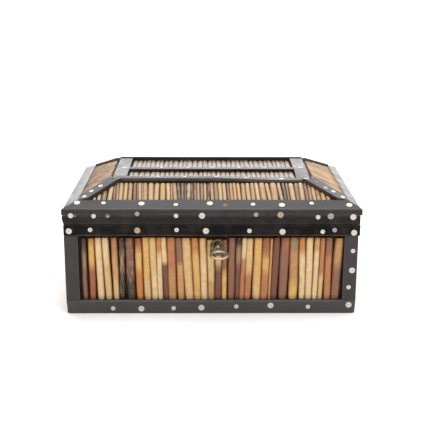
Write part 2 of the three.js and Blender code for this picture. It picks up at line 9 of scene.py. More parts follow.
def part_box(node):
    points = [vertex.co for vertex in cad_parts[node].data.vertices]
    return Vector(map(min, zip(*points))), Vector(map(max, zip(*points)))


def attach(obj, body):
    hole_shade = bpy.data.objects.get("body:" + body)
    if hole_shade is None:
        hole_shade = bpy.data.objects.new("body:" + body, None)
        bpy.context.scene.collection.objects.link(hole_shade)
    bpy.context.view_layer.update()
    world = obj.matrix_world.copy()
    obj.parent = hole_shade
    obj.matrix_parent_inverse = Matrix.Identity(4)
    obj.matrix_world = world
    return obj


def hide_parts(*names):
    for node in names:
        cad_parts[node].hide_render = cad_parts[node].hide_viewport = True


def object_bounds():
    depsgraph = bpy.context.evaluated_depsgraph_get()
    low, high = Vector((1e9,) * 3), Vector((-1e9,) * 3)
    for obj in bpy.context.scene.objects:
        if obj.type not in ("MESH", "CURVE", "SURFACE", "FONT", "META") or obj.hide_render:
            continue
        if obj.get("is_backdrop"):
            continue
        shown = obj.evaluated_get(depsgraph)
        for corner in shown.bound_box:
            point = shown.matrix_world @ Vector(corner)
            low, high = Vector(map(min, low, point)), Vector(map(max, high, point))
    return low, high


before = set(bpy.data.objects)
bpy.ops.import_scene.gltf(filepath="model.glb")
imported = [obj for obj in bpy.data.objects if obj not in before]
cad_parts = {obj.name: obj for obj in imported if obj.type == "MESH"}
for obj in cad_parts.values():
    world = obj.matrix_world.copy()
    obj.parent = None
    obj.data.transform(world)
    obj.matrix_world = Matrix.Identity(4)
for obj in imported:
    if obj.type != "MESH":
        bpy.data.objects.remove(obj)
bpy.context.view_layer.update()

# The view: a long lens set back from the front of the box and a little left of its middle,
# looking down so that the front, the sloping lid and its flat top all show.
MM = 0.001
CAMERA_PLACE = Vector((-5.5, -845.1, 315.3)) * MM
CAMERA_TURN = math.radians(0.72)
CAMERA_PITCH = math.radians(16.23)
CAMERA_ROLL = math.radians(0.21)
SENSOR_W = 36
IMAGE_SIDE_PX = 432
FOCAL_PX = 891.2

camera_data = bpy.data.cameras.new("camera")
camera_data.sensor_width = SENSOR_W
camera_data.lens = FOCAL_PX / IMAGE_SIDE_PX * SENSOR_W
camera = bpy.data.objects.new("camera", camera_data)
camera.matrix_world = (
    Matrix.Translation(CAMERA_PLACE)
    @ Matrix.Rotation(-CAMERA_TURN, 4, "Z")
    @ Matrix.Rotation(math.pi / 2 - CAMERA_PITCH, 4, "X")
    @ Matrix.Rotation(CAMERA_ROLL, 4, "Z")
)
bpy.context.scene.collection.objects.link(camera)
bpy.context.scene.camera = camera


# The table top and the studio: a wide flat sheet of matt white paper whose far part glows, a painted
# light that stands in for a bright cove behind the box, with a big soft light overhead and another low
# behind.
FLOOR_REACH = 40
FLOOR_WHITE = "#f4f4f4"
# From this far out from the box to that far, the paper's painted glow grows to its full strength.
GLOW_FROM = 0.45
GLOW_TO = 1.6
FLOOR_GLOW = 0.8
WALL_WHITE = "#ffffff"
WALL_STRENGTH = 0.45
# Each soft light has its width and depth, its place, what it points at and its face's brightness.
SOFT_LIGHTS = {
    "overhead": ((1.8, 1.7), (0.1, -0.1, 1.2), (0, -0.05, 0), 2.7),
    "behind": ((3.6, 1.5), (0, 2.0, 0.85), (0, 0, 0.1), 2.8),
}


def linear(hex_colour):
    """An sRGB hex colour as the linear red, green, blue and alpha that a shader takes."""
    parts = [int(hex_colour[i : i + 2], 16) / 255 for i in (1, 3, 5)]
    return (*(p / 12.92 if p <= 0.04045 else ((p + 0.055) / 1.055) ** 2.4 for p in parts), 1)


def add(tree, kind, inputs=None, **settings):
    """Adds a node of that kind, with its settings, and a value or a link for each named input."""
    node = tree.nodes.new(kind)
    for name, value in settings.items():
        setattr(node, name, value)
    for socket, value in (inputs or {}).items():
        if isinstance(value, bpy.types.NodeSocket):
            tree.links.new(value, node.inputs[socket])
        else:
            node.inputs[socket].default_value = value
    return node


def surface(name, **uniform):
    """A new material, its node tree and its shader, with what is the same all over it."""
    material = bpy.data.materials.new(name)
    material.use_nodes = True
    shader = material.node_tree.nodes["Principled BSDF"]
    for socket, value in uniform.items():
        shader.inputs[socket.replace("_", " ")].default_value = value
    return material, material.node_tree, shader


# Matt paper gives no reflection: only a soft shadow shows on it near the box. Further out it glows more
# and more, a painted light, so no shadow shows far off.
paper, paper_tree, paper_shader = surface("white_paper_matt", Roughness=0.9)
paper_shader.inputs["Base Color"].default_value = linear(FLOOR_WHITE)
paper_shader.inputs["Specular IOR Level"].default_value = 0.1
paper_shader.inputs["Emission Color"].default_value = linear(WALL_WHITE)
from_box = add(
    paper_tree,
    "ShaderNodeVectorMath",
    {0: add(paper_tree, "ShaderNodeTexCoord").outputs["Object"]},
    operation="LENGTH",
)
floor_glow_share = add(
    paper_tree,
    "ShaderNodeMapRange",
    {
        "Value": from_box.outputs["Value"],
        "From Min": GLOW_FROM,
        "From Max": GLOW_TO,
        "To Max": FLOOR_GLOW,
    },
)
paper_tree.links.new(floor_glow_share.outputs[0], paper_shader.inputs["Emission Strength"])
sheet = bmesh.new()
bmesh.ops.create_grid(sheet, x_segments=1, y_segments=1, size=FLOOR_REACH)
floor_mesh = bpy.data.meshes.new("floor")
sheet.to_mesh(floor_mesh)
sheet.free()
floor_mesh.materials.append(paper)
floor = bpy.data.objects.new("floor", floor_mesh)
bpy.context.scene.collection.objects.link(floor)
floor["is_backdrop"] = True

studio = bpy.data.worlds.new("studio")
studio.use_nodes = True
studio.node_tree.nodes["Background"].inputs["Color"].default_value = linear(WALL_WHITE)
studio.node_tree.nodes["Background"].inputs["Strength"].default_value = WALL_STRENGTH
bpy.context.scene.world = studio
bpy.context.scene.view_settings.view_transform = "Standard"

for light_name, (light_size, light_place, aim, brightness) in SOFT_LIGHTS.items():
    light = bpy.data.lights.new(light_name, "AREA")
    light.shape = "RECTANGLE"
    light.size, light.size_y = light_size
    light.energy = brightness * math.pi * light.size * light.size_y
    lamp = bpy.data.objects.new(light_name, light)
    lamp.location = light_place
    lamp.rotation_mode = "QUATERNION"
    lamp.rotation_quaternion = (Vector(aim) - Vector(light_place)).to_track_quat("-Z", "Y")
    bpy.context.scene.collection.objects.link(lamp)


# The carcass: boards of plain brown wood, planed inside and left bare, glued up as a box and
# a lid. Their outsides are painted near-black, a painted shade that shows in the cracks between the
# quills.
CARCASS_BROWN = "#8a6142"
CARCASS_LIGHT = "#a87c56"
CARCASS_GAP_SHADE = "#2c1408"
GRAIN_STREAK = 3.5 * MM
GRAIN_RUN = 90 * MM
# Real pores are a few times finer, too fine to show.
PORE_W = 0.5 * MM
PORE_RUN = 5 * MM
# A face is painted dark where it is this far out from the middle of the box, square to itself.
CARCASS_HEART = (0, 0, 40 * MM)
GAP_SHADE_FROM = 55 * MM
GAP_SHADE_TO = 60 * MM
# The colour mix node's sockets: its two colours and its result.
COLOUR_A = 6
COLOUR_B = 7
MIXED = 2


def carcass_wood(along):
    """Planed hardwood, grained along that axis: soft brown streaks, a dull sheen, fine pores, and
    painted shade on its outer faces.
    """
    material, tree, shader = surface(f"hardwood_planed_grain_along_{along}", Roughness=0.62)
    place = add(tree, "ShaderNodeTexCoord")
    grain = [1 / GRAIN_RUN if axis == along else 1 / GRAIN_STREAK for axis in "xyz"]
    pores = [1 / PORE_RUN if axis == along else 1 / PORE_W for axis in "xyz"]
    streaks = add(
        tree,
        "ShaderNodeTexNoise",
        {
            "Vector": add(
                tree, "ShaderNodeMapping", {"Vector": place.outputs["Object"], "Scale": grain}
            ).outputs[0],
            "Scale": 1,
            "Detail": 4,
            "Distortion": 0.6,
        },
    )
    fine = add(
        tree,
        "ShaderNodeTexNoise",
        {
            "Vector": add(
                tree, "ShaderNodeMapping", {"Vector": place.outputs["Object"], "Scale": pores}
            ).outputs[0],
            "Scale": 1,
            "Detail": 2,
        },
    )
    wood = add(
        tree,
        "ShaderNodeMix",
        {
            "Factor": streaks.outputs[0],
            COLOUR_A: linear(CARCASS_BROWN),
            COLOUR_B: linear(CARCASS_LIGHT),
        },
        data_type="RGBA",
    )
    from_heart = add(
        tree,
        "ShaderNodeVectorMath",
        {0: place.outputs["Object"], 1: CARCASS_HEART},
        operation="SUBTRACT",
    )
    outward = add(
        tree,
        "ShaderNodeVectorMath",
        {0: from_heart.outputs[0], 1: place.outputs["Normal"]},
        operation="DOT_PRODUCT",
    )
    gap_shade = add(
        tree,
        "ShaderNodeMapRange",
        {"Value": outward.outputs["Value"], "From Min": GAP_SHADE_FROM, "From Max": GAP_SHADE_TO},
    )
    colour = add(
        tree,
        "ShaderNodeMix",
        {"Factor": gap_shade.outputs[0], COLOUR_A: wood.outputs[MIXED], COLOUR_B: linear(CARCASS_GAP_SHADE)},
        data_type="RGBA",
    )
    tree.links.new(colour.outputs[MIXED], shader.inputs["Base Color"])
    bump = add(
        tree,
        "ShaderNodeBump",
        {"Strength": 0.3, "Distance": 0.1 * MM, "Height": fine.outputs[0]},
    )
    tree.links.new(bump.outputs[0], shader.inputs["Normal"])
    return material


wood_along = {axis: carcass_wood(axis) for axis in "xy"}
CARCASS_NODES = ["base_bottom_board", "lid_top_board"]
for side in ("front", "right", "back", "left"):
    CARCASS_NODES += [f"base_{side}_board", f"lid_{side}_slope_board"]
for node in CARCASS_NODES:
    low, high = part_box(node)
    long_axis = "x" if high.x - low.x > high.y - low.y else "y"
    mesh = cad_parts[node].data
    mesh.materials.clear()
    mesh.materials.append(wood_along[long_axis])


# The ebony: rails and posts round the base, the band, edge strips, hip strips and top rails of
# the lid. They were sawn from black wood, scraped flat, glued on and waxed. Handling has rounded
# and polished their arrises, and wax and dust have left cloudy grey patches.
EBONY_BLACK = "#100e0d"
EBONY_CLOUD = "#2d2927"
# The grey that whole pieces are lightened towards, each by a share of its own.
EBONY_GREYED = "#4a4745"
EBONY_WORN = "#5d5852"
ARRIS = 0.45 * MM
ARRIS_STEPS = 2
STATION = 7 * MM
WANDER = 0.09 * MM
WANDER_PATCH = 11 * MM
EBONY_GRAIN_RUN = 16 * MM
# Real ebony's grain is finer still, too fine to show.
EBONY_GRAIN_W = 0.7 * MM
CLOUD_PATCH = 16 * MM
SHARPER_THAN = math.radians(25)
FLATTER_THAN = math.radians(1)
MERGE_WITHIN = 0.01 * MM
FLAT_FACE_SAY = 90


def make(name, shape, material, body, slot, *nodes):
    """Turns a finished shape into a piece that rides on a body and stands for those nodes."""
    bmesh.ops.recalc_face_normals(shape, faces=shape.faces)
    mesh = bpy.data.meshes.new(name)
    shape.to_mesh(mesh)
    shape.free()
    mesh.materials.append(material)
    made = bpy.data.objects.new(name, mesh)
    bpy.context.scene.collection.objects.link(made)
    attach(made, body)
    if nodes:
        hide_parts(*nodes)
    return made


def merged_copy(node):
    """A node's solid with its triangles joined up again into whole faces."""
    shape = bmesh.new()
    shape.from_mesh(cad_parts[node].data)
    bmesh.ops.remove_doubles(shape, verts=shape.verts, dist=MERGE_WITHIN)
    bmesh.ops.dissolve_limit(
        shape, angle_limit=FLATTER_THAN, verts=shape.verts, edges=shape.edges
    )
    return shape


def everything(shape):
    """A shape's points, edges and faces, which is what a cut right through it takes."""
    return [*shape.verts, *shape.edges, *shape.faces]


def clip(shape, point, outwards):
    """Cuts off what lies outwards of a plane, and closes the cut."""
    cut = bmesh.ops.bisect_plane(
        shape,
        geom=everything(shape),
        plane_co=point,
        plane_no=outwards,
        clear_outer=True,
    )
    edges = [part for part in cut["geom_cut"] if isinstance(part, bmesh.types.BMEdge)]
    bmesh.ops.holes_fill(shape, edges=edges)


def ease_arrises(shape, ease, steps):
    """Rounds every sharp edge over, and marks the rounded faces as worn."""
    worn = shape.loops.layers.float.new("worn")
    sharp = [edge for edge in shape.edges if edge.calc_face_angle(0) > SHARPER_THAN]
    rounded = bmesh.ops.bevel(
        shape,
        geom=sharp,
        affect="EDGES",
        offset=ease,
        segments=steps,
        profile=0.5,
        material=-1,
        clamp_overlap=True,
    )
    for face in rounded["faces"]:
        for corner in face.loops:
            corner[worn] = 1


def scraped_bar(node, care, knocks=()):
    """A node's bar as a hand left it: eased arrises, faces not quite flat, and any knocks."""
    shape = merged_copy(node)
    longest = max(shape.edges, key=lambda edge: edge.calc_length())
    start, end = (v.co.copy() for v in longest.verts)
    run = end - start
    if run.x < 0 or run.x == 0 and run.y < 0:
        start = end
        run.negate()
    along = run.normalized()
    aside = along.orthogonal().normalized()
    third = along.cross(aside)
    ease_arrises(shape, ARRIS, ARRIS_STEPS)
    stations = range(-1, math.ceil(run.length / STATION) + 2)
    cuts = [start + along * (station + 0.5) * STATION for station in stations]
    for place, radius, _ in knocks:
        cuts += [place + along * offset * radius for offset in (-0.5, 0, 0.5)]
    for cut in cuts:
        bmesh.ops.bisect_plane(shape, geom=everything(shape), plane_co=cut, plane_no=along)
    shape.normal_update()
    grain = shape.verts.layers.float_vector.new("grain_place")
    greying = shape.verts.layers.float.new("greying")
    dry = shape.verts.layers.float.new("dry")
    for v in shape.verts:
        v[greying], v[dry] = care
        v[grain] = (v.co.dot(along), v.co.dot(aside), v.co.dot(third))
        sink = WANDER * (0.5 + 0.5 * noise.noise(v.co / WANDER_PATCH))
        for place, radius, depth in knocks:
            sink += depth * max(0, 1 - (v.co - place).length / radius)
        v.co -= v.normal * sink
    for face in shape.faces:
        face.smooth = True
    return shape


def even_shading(made):
    """Lets the broad flat faces set the shading at their eased edges."""
    weighting = made.modifiers.new("even_shading", "WEIGHTED_NORMAL")
    weighting.mode = "FACE_AREA"
    weighting.weight = FLAT_FACE_SAY
    return made


# Scraped and waxed ebony is almost black. The wax goes grey where it mirrors the light at a low
# angle, its cloudy patches and fine lines of grain break that sheen up, and worn edges are paler.
ebony, ebony_tree, ebony_shader = surface("ebony_scraped_and_waxed", IOR=1.5)
grain_place = add(ebony_tree, "ShaderNodeAttribute", attribute_name="grain_place").outputs["Vector"]
ebony_grain = add(
    ebony_tree,
    "ShaderNodeTexNoise",
    {
        "Vector": add(
            ebony_tree,
            "ShaderNodeMapping",
            {
                "Vector": grain_place,
                "Scale": (1 / EBONY_GRAIN_RUN, 1 / EBONY_GRAIN_W, 1 / EBONY_GRAIN_W),
            },
        ).outputs[0],
        "Scale": 1,
        "Detail": 3,
    },
).outputs[0]
ebony_clouds = add(
    ebony_tree,
    "ShaderNodeTexNoise",
    {"Vector": grain_place, "Scale": 1 / CLOUD_PATCH, "Detail": 5, "Roughness": 0.6},
).outputs[0]
cloud_share = add(
    ebony_tree,
    "ShaderNodeMapRange",
    {"Value": ebony_clouds, "From Min": 0.42, "From Max": 0.7},
).outputs[0]
grain_share = add(
    ebony_tree,
    "ShaderNodeMapRange",
    {"Value": ebony_grain, "From Min": 0.5, "From Max": 0.75, "To Max": 0.5},
).outputs[0]
cloudy = add(
    ebony_tree,
    "ShaderNodeMix",
    {"Factor": cloud_share, COLOUR_A: linear(EBONY_BLACK), COLOUR_B: linear(EBONY_CLOUD)},
    data_type="RGBA",
).outputs[MIXED]
grained = add(
    ebony_tree,
    "ShaderNodeMix",
    {"Factor": grain_share, COLOUR_A: cloudy, COLOUR_B: linear(EBONY_CLOUD)},
    data_type="RGBA",
).outputs[MIXED]
# Each piece is lightened towards grey by its own share, the bottom rails most and the top rails not at
# all.
grey_share = add(ebony_tree, "ShaderNodeAttribute", attribute_name="greying").outputs["Fac"]
greyed = add(
    ebony_tree,
    "ShaderNodeMix",
    {"Factor": grey_share, COLOUR_A: grained, COLOUR_B: linear(EBONY_GREYED)},
    data_type="RGBA",
).outputs[MIXED]
worn_edge = add(ebony_tree, "ShaderNodeAttribute", attribute_name="worn").outputs["Fac"]
worn_share = add(
    ebony_tree,
    "ShaderNodeMath",
    {0: worn_edge, 1: ebony_clouds},
    operation="MULTIPLY",
).outputs[0]
ebony_colour = add(
    ebony_tree,
    "ShaderNodeMix",
    {"Factor": worn_share, COLOUR_A: greyed, COLOUR_B: linear(EBONY_WORN)},
    data_type="RGBA",
).outputs[MIXED]
ebony_tree.links.new(ebony_colour, ebony_shader.inputs["Base Color"])
ebony_roughness = add(
    ebony_tree,
    "ShaderNodeMapRange",
    {"Value": ebony_clouds, "From Min": 0.3, "From Max": 0.75, "To Min": 0.3, "To Max": 0.52},
).outputs[0]
ebony_tree.links.new(ebony_roughness, ebony_shader.inputs["Roughness"])
dry_share = add(ebony_tree, "ShaderNodeAttribute", attribute_name="dry").outputs["Fac"]
wax_level = add(
    ebony_tree,
    "ShaderNodeMapRange",
    {"Value": dry_share, "To Min": 0.5, "To Max": 0.06},
).outputs[0]
ebony_tree.links.new(wax_level, ebony_shader.inputs["Specular IOR Level"])
ebony_bump = add(
    ebony_tree,
    "ShaderNodeBump",
    {"Strength": 0.35, "Distance": 0.08 * MM, "Height": ebony_grain},
).outputs[0]
ebony_tree.links.new(ebony_bump, ebony_shader.inputs["Normal"])

# How far each kind of piece is lightened towards grey, the bottom rails most, and how dry of wax it has
# become.
EBONY_CARE = {
    "bottom_rail": (0.55, 0.1),
    "top_rail": (0.0, 1.0),
    "post": (0.35, 0.3),
    "band": (0.06, 0.75),
    "front_edge_strip": (0.05, 0.25),
    "edge_strip": (0.05, 0.05),
    "hip_strip_front_right": (0.4, 0.0),
    "hip": (0.15, 0.0),
    "lid_top_middle": (0.1, 0.72),
    "lid_top_front": (0.1, 0.75),
    "lid_top": (0.1, 0.05),
}
# Chips at the front right hip, and knocks at the lower corners: each one's middle, reach and depth.
KNOCKS = {
    "lid_hip_strip_front_right": [
        (Vector((103.6 * MM, -50.2 * MM, 113.2 * MM)), 4 * MM, 0.8 * MM),
        (Vector((107.4 * MM, -60.4 * MM, 110.2 * MM)), 3 * MM, 0.7 * MM),
    ],
    "base_front_bottom_rail": [
        (Vector((132.5 * MM, -82.5 * MM, 0)), 3 * MM, 1.4 * MM),
        (Vector((-132.5 * MM, -82.5 * MM, 0)), 3 * MM, 1.2 * MM),
    ],
}
# The band's front left corner has chipped away below this point, on this slope.
BAND_CORNER_FROM = Vector((-133.4, 0, 90.5)) * MM
BAND_CORNER_SLOPE = Vector((-1, 0, -0.32))
# The flat top has sunk at its front right corner, and the two rails that meet there with it.
SINK = 1.85 * MM
SINK_X = (2 * MM, 68 * MM)
SINK_Y = (0, -33 * MM)
SUNK_RAILS = ("lid_top_rail_front", "lid_top_rail_right")


def sunk(place):
    """The same place on the flat top once that corner has sunk under it."""
    depth = SINK
    for at, (start, full) in ((place.x, SINK_X), (place.y, SINK_Y)):
        share = min(1, max(0, (at - start) / (full - start)))
        depth *= share * share * (3 - 2 * share)
    return place - Vector((0, 0, depth))


EBONY_NODES = {"base": [], "lid": []}
for side in ("front", "right", "back", "left"):
    EBONY_NODES["base"] += [f"base_{side}_bottom_rail", f"base_{side}_top_rail"]
    EBONY_NODES["lid"] += [f"lid_{side}_band", f"lid_{side}_edge_strip"]
for corner in ("front_left", "front_right", "back_right", "back_left"):
    EBONY_NODES["base"].append(f"base_post_{corner}")
    EBONY_NODES["lid"].append(f"lid_hip_strip_{corner}")
for rail in ("front", "rear", "left", "right", "middle"):
    EBONY_NODES["lid"].append(f"lid_top_rail_{rail}")
for body, nodes in EBONY_NODES.items():
    for node in nodes:
        kind = next(kind for kind in EBONY_CARE if kind in node.replace("lid_top_rail", "lid_top"))
        bar = scraped_bar(node, EBONY_CARE[kind], KNOCKS.get(node, ()))
        if node in SUNK_RAILS:
            for v in bar.verts:
                v.co = sunk(v.co)
        if node == "lid_front_band":
            clip(bar, BAND_CORNER_FROM, BAND_CORNER_SLOPE)
        even_shading(make(f"ebony_{node}", bar, ebony, body, "ebony", node))


# The quills: lengths of porcupine quill, scraped, polished and laid side by side on the carcass
# with glue. Each is a bluntly tapered tube of horn with its own width, lean and bands of colour.
QUILL_TONES = {
    "cream": "#e6c592",
    "straw": "#dcb479",
    "gold": "#deac60",
    "sand": "#cc985d",
    "orange": "#c88040",
    "tan": "#bf8a54",
    "clay": "#ba784b",
    "russet": "#a3603c",
    "ash": "#977c5b",
    "mauve": "#8e6148",
    "plum": "#744a38",
    "smoked": "#46342a",
}
QUILL_FADED = "#7e7668"
# The painted shade laid on each quill's flanks, for the dark gaps beside it.
FLANK_PAINTED_SHADE = "#5e2c10"
CRACK = "#1e110b"
PITH = "#d9c6a0"
# Real fibres are a few times finer, too fine to show.
FIBRE_W = 0.45 * MM
FIBRE_RUN = 9 * MM
MOTTLE = 5 * MM
TONE_BLEND = 4 * MM
# How much a quill swells, tapers and bends, as shares of its width, how many times the swelling
# and the bend change along it, and how deep, how many and how far round the pits of a split one are.
SWELL = 0.07
SWELL_WAVES = 2.3
TAPER = 0.05
CROOK = 0.06
CROOK_WAVES = 1.7
PIT_DEPTH = 0.2
PIT_WAVES = 31
PITS_ROUND = 2.2
# A quill's serial number moves it this far on through each pattern, so that no two are alike.
SWELL_STEP = 7.7
CROOK_STEP = 3.1
CROOK_LAYER = 9
FIBRE_STEP = 50 * MM


def unit_tube(sides, rings):
    """A closed tube, one across and one long, with so many rings of points along it."""
    shape = bmesh.new()
    bmesh.ops.create_cone(
        shape,
        cap_ends=True,
        segments=sides,
        radius1=0.5,
        radius2=0.5,
        depth=1,
        matrix=Matrix.Translation((0, 0, 0.5)),
    )
    for ring in range(1, rings - 1):
        bmesh.ops.bisect_plane(
            shape,
            geom=everything(shape),
            plane_co=(0, 0, ring / (rings - 1)),
            plane_no=(0, 0, 1),
        )
    for face in shape.faces:
        face.smooth = abs(face.normal.z) < 0.5
    mesh = bpy.data.meshes.new("unit_tube")
    shape.to_mesh(mesh)
    shape.free()
    return mesh


def quill_bed():
    """An empty shape with what a quill's points carry: tone, place on the quill, decay."""
    bed = bmesh.new()
    bed.verts.layers.float_color.new("tone")
    bed.verts.layers.float_vector.new("quill_place")
    bed.verts.layers.float.new("flank")
    bed.verts.layers.float.new("decay")
    return bed


def tone_at(height, bands):
    """The colour at a height of a quill whose bands are tone, height, tone, height, tone."""
    colour = Vector(linear(QUILL_TONES[bands[0]]))
    for change, tone in zip(bands[1::2], bands[2::2]):
        share = min(1, max(0, (height - change * MM) / TONE_BLEND + 0.5))
        colour = colour.lerp(Vector(linear(QUILL_TONES[tone])), share)
    return colour


def lay_quill(bed, tube, middle, width, lean, bands, foot, head, thick, serial, decay=0, fade=0):
    """Lays one quill on a bed: across is x, along the quill is y and the carcass is at z 0."""
    faded = Vector(linear(QUILL_FADED))
    tone = bed.verts.layers.float_color["tone"]
    quill_place = bed.verts.layers.float_vector["quill_place"]
    flank = bed.verts.layers.float["flank"]
    rot = bed.verts.layers.float["decay"]
    first = len(bed.verts)
    bed.from_mesh(tube)
    bed.verts.ensure_lookup_table()
    for v in bed.verts[first:]:
        share = v.co.z
        around = math.atan2(v.co.x, -v.co.y)
        swell = 1 + SWELL * noise.noise((share * SWELL_WAVES, serial * SWELL_STEP, 0))
        swell -= TAPER * (2 * share - 1) ** 2
        bend = noise.noise((share * CROOK_WAVES, serial * CROOK_STEP, CROOK_LAYER))
        crook = CROOK * width * bend
        if decay:
            pit = noise.noise((share * PIT_WAVES, PITS_ROUND * around, serial))
            swell *= 1 - PIT_DEPTH * decay * max(0, pit)
        x = middle + lean * (share - 0.5) + crook + v.co.x * width * swell
        y = foot + (head - foot) * share
        z = thick * (0.5 - v.co.y * swell)
        v[tone] = tone_at(y, bands).lerp(faded, fade)
        v[quill_place] = (around * width / 2, y, serial * FIBRE_STEP)
        v[flank] = abs(v.co.x) * 2
        v[rot] = decay
        v.co = (x, y, z)


# Polished quill has a soft horn gloss over fine fibres that run along it. Its flanks are painted
# darker and redder than its crown, a painted shade from the gaps beside it, and a split one shows dark
# cracks and shreds of pale pith.
quill, quill_tree, quill_shader = surface("porcupine_quill_scraped_and_polished", IOR=1.46)
quill_tone = add(quill_tree, "ShaderNodeAttribute", attribute_name="tone").outputs["Color"]
quill_spot = add(quill_tree, "ShaderNodeAttribute", attribute_name="quill_place").outputs["Vector"]
quill_flank = add(quill_tree, "ShaderNodeAttribute", attribute_name="flank").outputs["Fac"]
quill_decay = add(quill_tree, "ShaderNodeAttribute", attribute_name="decay").outputs["Fac"]
fibres = add(
    quill_tree,
    "ShaderNodeTexNoise",
    {
        "Vector": add(
            quill_tree,
            "ShaderNodeMapping",
            {"Vector": quill_spot, "Scale": (1 / FIBRE_W, 1 / FIBRE_RUN, 1 / MM)},
        ).outputs[0],
        "Scale": 1,
        "Detail": 3,
    },
).outputs[0]
mottle = add(
    quill_tree,
    "ShaderNodeTexNoise",
    {"Vector": quill_spot, "Scale": 1 / MOTTLE, "Detail": 4},
).outputs[0]
fibre_light = add(
    quill_tree,
    "ShaderNodeMapRange",
    {"Value": fibres, "From Min": 0.25, "From Max": 0.75, "To Min": 0.8, "To Max": 1.12},
).outputs[0]
mottle_light = add(
    quill_tree,
    "ShaderNodeMapRange",
    {"Value": mottle, "From Min": 0.3, "From Max": 0.7, "To Min": 0.86, "To Max": 1.08},
).outputs[0]
lights = add(
    quill_tree, "ShaderNodeMath", {0: fibre_light, 1: mottle_light}, operation="MULTIPLY"
).outputs[0]
fibred = add(
    quill_tree,
    "ShaderNodeVectorMath",
    {0: quill_tone, "Scale": lights},
    operation="SCALE",
).outputs[0]
flank_shade_share = add(
    quill_tree,
    "ShaderNodeMapRange",
    {"Value": quill_flank, "From Min": 0.55, "From Max": 1.0, "To Max": 0.75},
).outputs[0]
flank_shaded = add(
    quill_tree,
    "ShaderNodeMix",
    {"Factor": flank_shade_share, COLOUR_A: fibred, COLOUR_B: linear(FLANK_PAINTED_SHADE)},
    data_type="RGBA",
).outputs[MIXED]
crack_share = add(
    quill_tree,
    "ShaderNodeMath",
    {
        0: quill_decay,
        1: add(
            quill_tree,
            "ShaderNodeMapRange",
            {"Value": fibres, "From Min": 0.5, "From Max": 0.4},
        ).outputs[0],
    },
    operation="MULTIPLY",
).outputs[0]
cracked = add(
    quill_tree,
    "ShaderNodeMix",
    {"Factor": crack_share, COLOUR_A: flank_shaded, COLOUR_B: linear(CRACK)},
    data_type="RGBA",
).outputs[MIXED]
pith_share = add(
    quill_tree,
    "ShaderNodeMath",
    {
        0: quill_decay,
        1: add(
            quill_tree,
            "ShaderNodeMapRange",
            {"Value": fibres, "From Min": 0.6, "From Max": 0.68},
        ).outputs[0],
    },
    operation="MULTIPLY",
).outputs[0]
quill_colour = add(
    quill_tree,
    "ShaderNodeMix",
    {"Factor": pith_share, COLOUR_A: cracked, COLOUR_B: linear(PITH)},
    data_type="RGBA",
).outputs[MIXED]
quill_tree.links.new(quill_colour, quill_shader.inputs["Base Color"])
quill_roughness = add(
    quill_tree,
    "ShaderNodeMapRange",
    {"Value": mottle, "From Min": 0.3, "From Max": 0.7, "To Min": 0.34, "To Max": 0.5},
).outputs[0]
quill_tree.links.new(quill_roughness, quill_shader.inputs["Roughness"])
quill_bump = add(
    quill_tree,
    "ShaderNodeBump",
    {"Strength": 0.3, "Distance": 0.08 * MM, "Height": fibres},
).outputs[0]
quill_tree.links.new(quill_bump, quill_shader.inputs["Normal"])

# The front panel's own quills, from the left. Each has its middle and width halfway up, how far
# its head leans to the right of its foot, and its tones from the foot up with the height over
# the table, all in mm, at which one gives way to the next.
FRONT_QUILLS = [
    (-115.3, 4.8, -0.6, ("mauve", 42, "ash", 60, "smoked")),
    (-108.4, 6.0, 0.0, ("russet", 45, "gold", 66, "orange")),
    (-101.4, 6.6, -1.4, ("cream",)),
    (-94.7, 6.5, -2.4, ("straw", 50, "cream")),
    (-87.3, 5.9, -1.5, ("straw", 34, "sand", 56, "clay")),
    (-81.1, 5.2, 0.6, ("smoked", 40, "ash", 60, "smoked")),
    (-73.4, 7.8, -1.0, ("smoked", 34, "mauve")),
    (-65.6, 6.6, -0.9, ("orange", 41, "gold", 61, "russet")),
    (-58.8, 6.8, -1.8, ("straw", 30, "gold")),
    (-52.4, 6.6, -1.9, ("cream", 40, "straw")),
    (-46.9, 5.4, -1.2, ("cream", 57, "orange")),
    (-42.1, 5.3, -2.2, ("plum", 48, "cream")),
    (-36.0, 8.3, -0.8, ("tan", 40, "clay")),
    (-28.4, 6.5, -2.4, ("sand", 48, "mauve")),
    (-21.6, 8.6, -3.2, ("straw",)),
    (-13.7, 7.0, -2.5, ("gold", 57, "orange")),
    (-7.0, 6.8, -1.2, ("cream", 50, "straw")),
    (-0.3, 6.8, -0.8, ("sand", 30, "straw", 60, "sand")),
    (6.4, 6.4, 0.0, ("plum", 45, "straw")),
    (12.0, 5.0, 0.3, ("gold", 40, "mauve")),
    (18.4, 6.8, 0.6, ("mauve",)),
    (24.4, 5.2, 1.2, ("plum", 46, "ash", 64, "smoked")),
    (29.0, 4.9, 2.4, ("clay", 52, "cream")),
    (34.1, 6.8, 2.4, ("clay", 39, "straw")),
    (41.8, 8.0, 1.6, ("straw", 30, "gold")),
    (49.2, 7.4, 1.8, ("clay", 40, "gold", 55, "russet")),
    (53.9, 2.6, 1.8, ("sand",)),
    (58.2, 6.6, 2.5, ("plum",)),
    (66.2, 8.6, 2.0, ("mauve", 60, "russet")),
    (75.0, 8.6, 0.8, ("gold", 30, "tan", 60, "ash")),
    (82.8, 6.2, -0.5, ("cream", 57, "orange")),
    (89.2, 7.0, 0.5, ("cream",)),
    (95.4, 5.4, 1.5, ("cream", 60, "sand")),
    (100.3, 5.0, 1.4, ("straw", 36, "clay")),
    (106.4, 6.8, 0.8, ("clay", 56, "mauve")),
    (114.6, 8.2, 2.4, ("mauve", 45, "tan")),
]
# How split some of them are, by their middles.
FRONT_DECAY = {-81.1: 1.0, -73.4: 0.65, -115.3: 0.3}
# What the other panels are laid from.
QUILL_KINDS = [
    ("cream",),
    ("cream", "straw"),
    ("straw",),
    ("gold", "orange"),
    ("sand",),
    ("clay", "gold", "russet"),
    ("tan", "clay"),
    ("mauve",),
    ("plum", "cream"),
    ("mauve", "tan"),
    ("russet", "straw"),
]
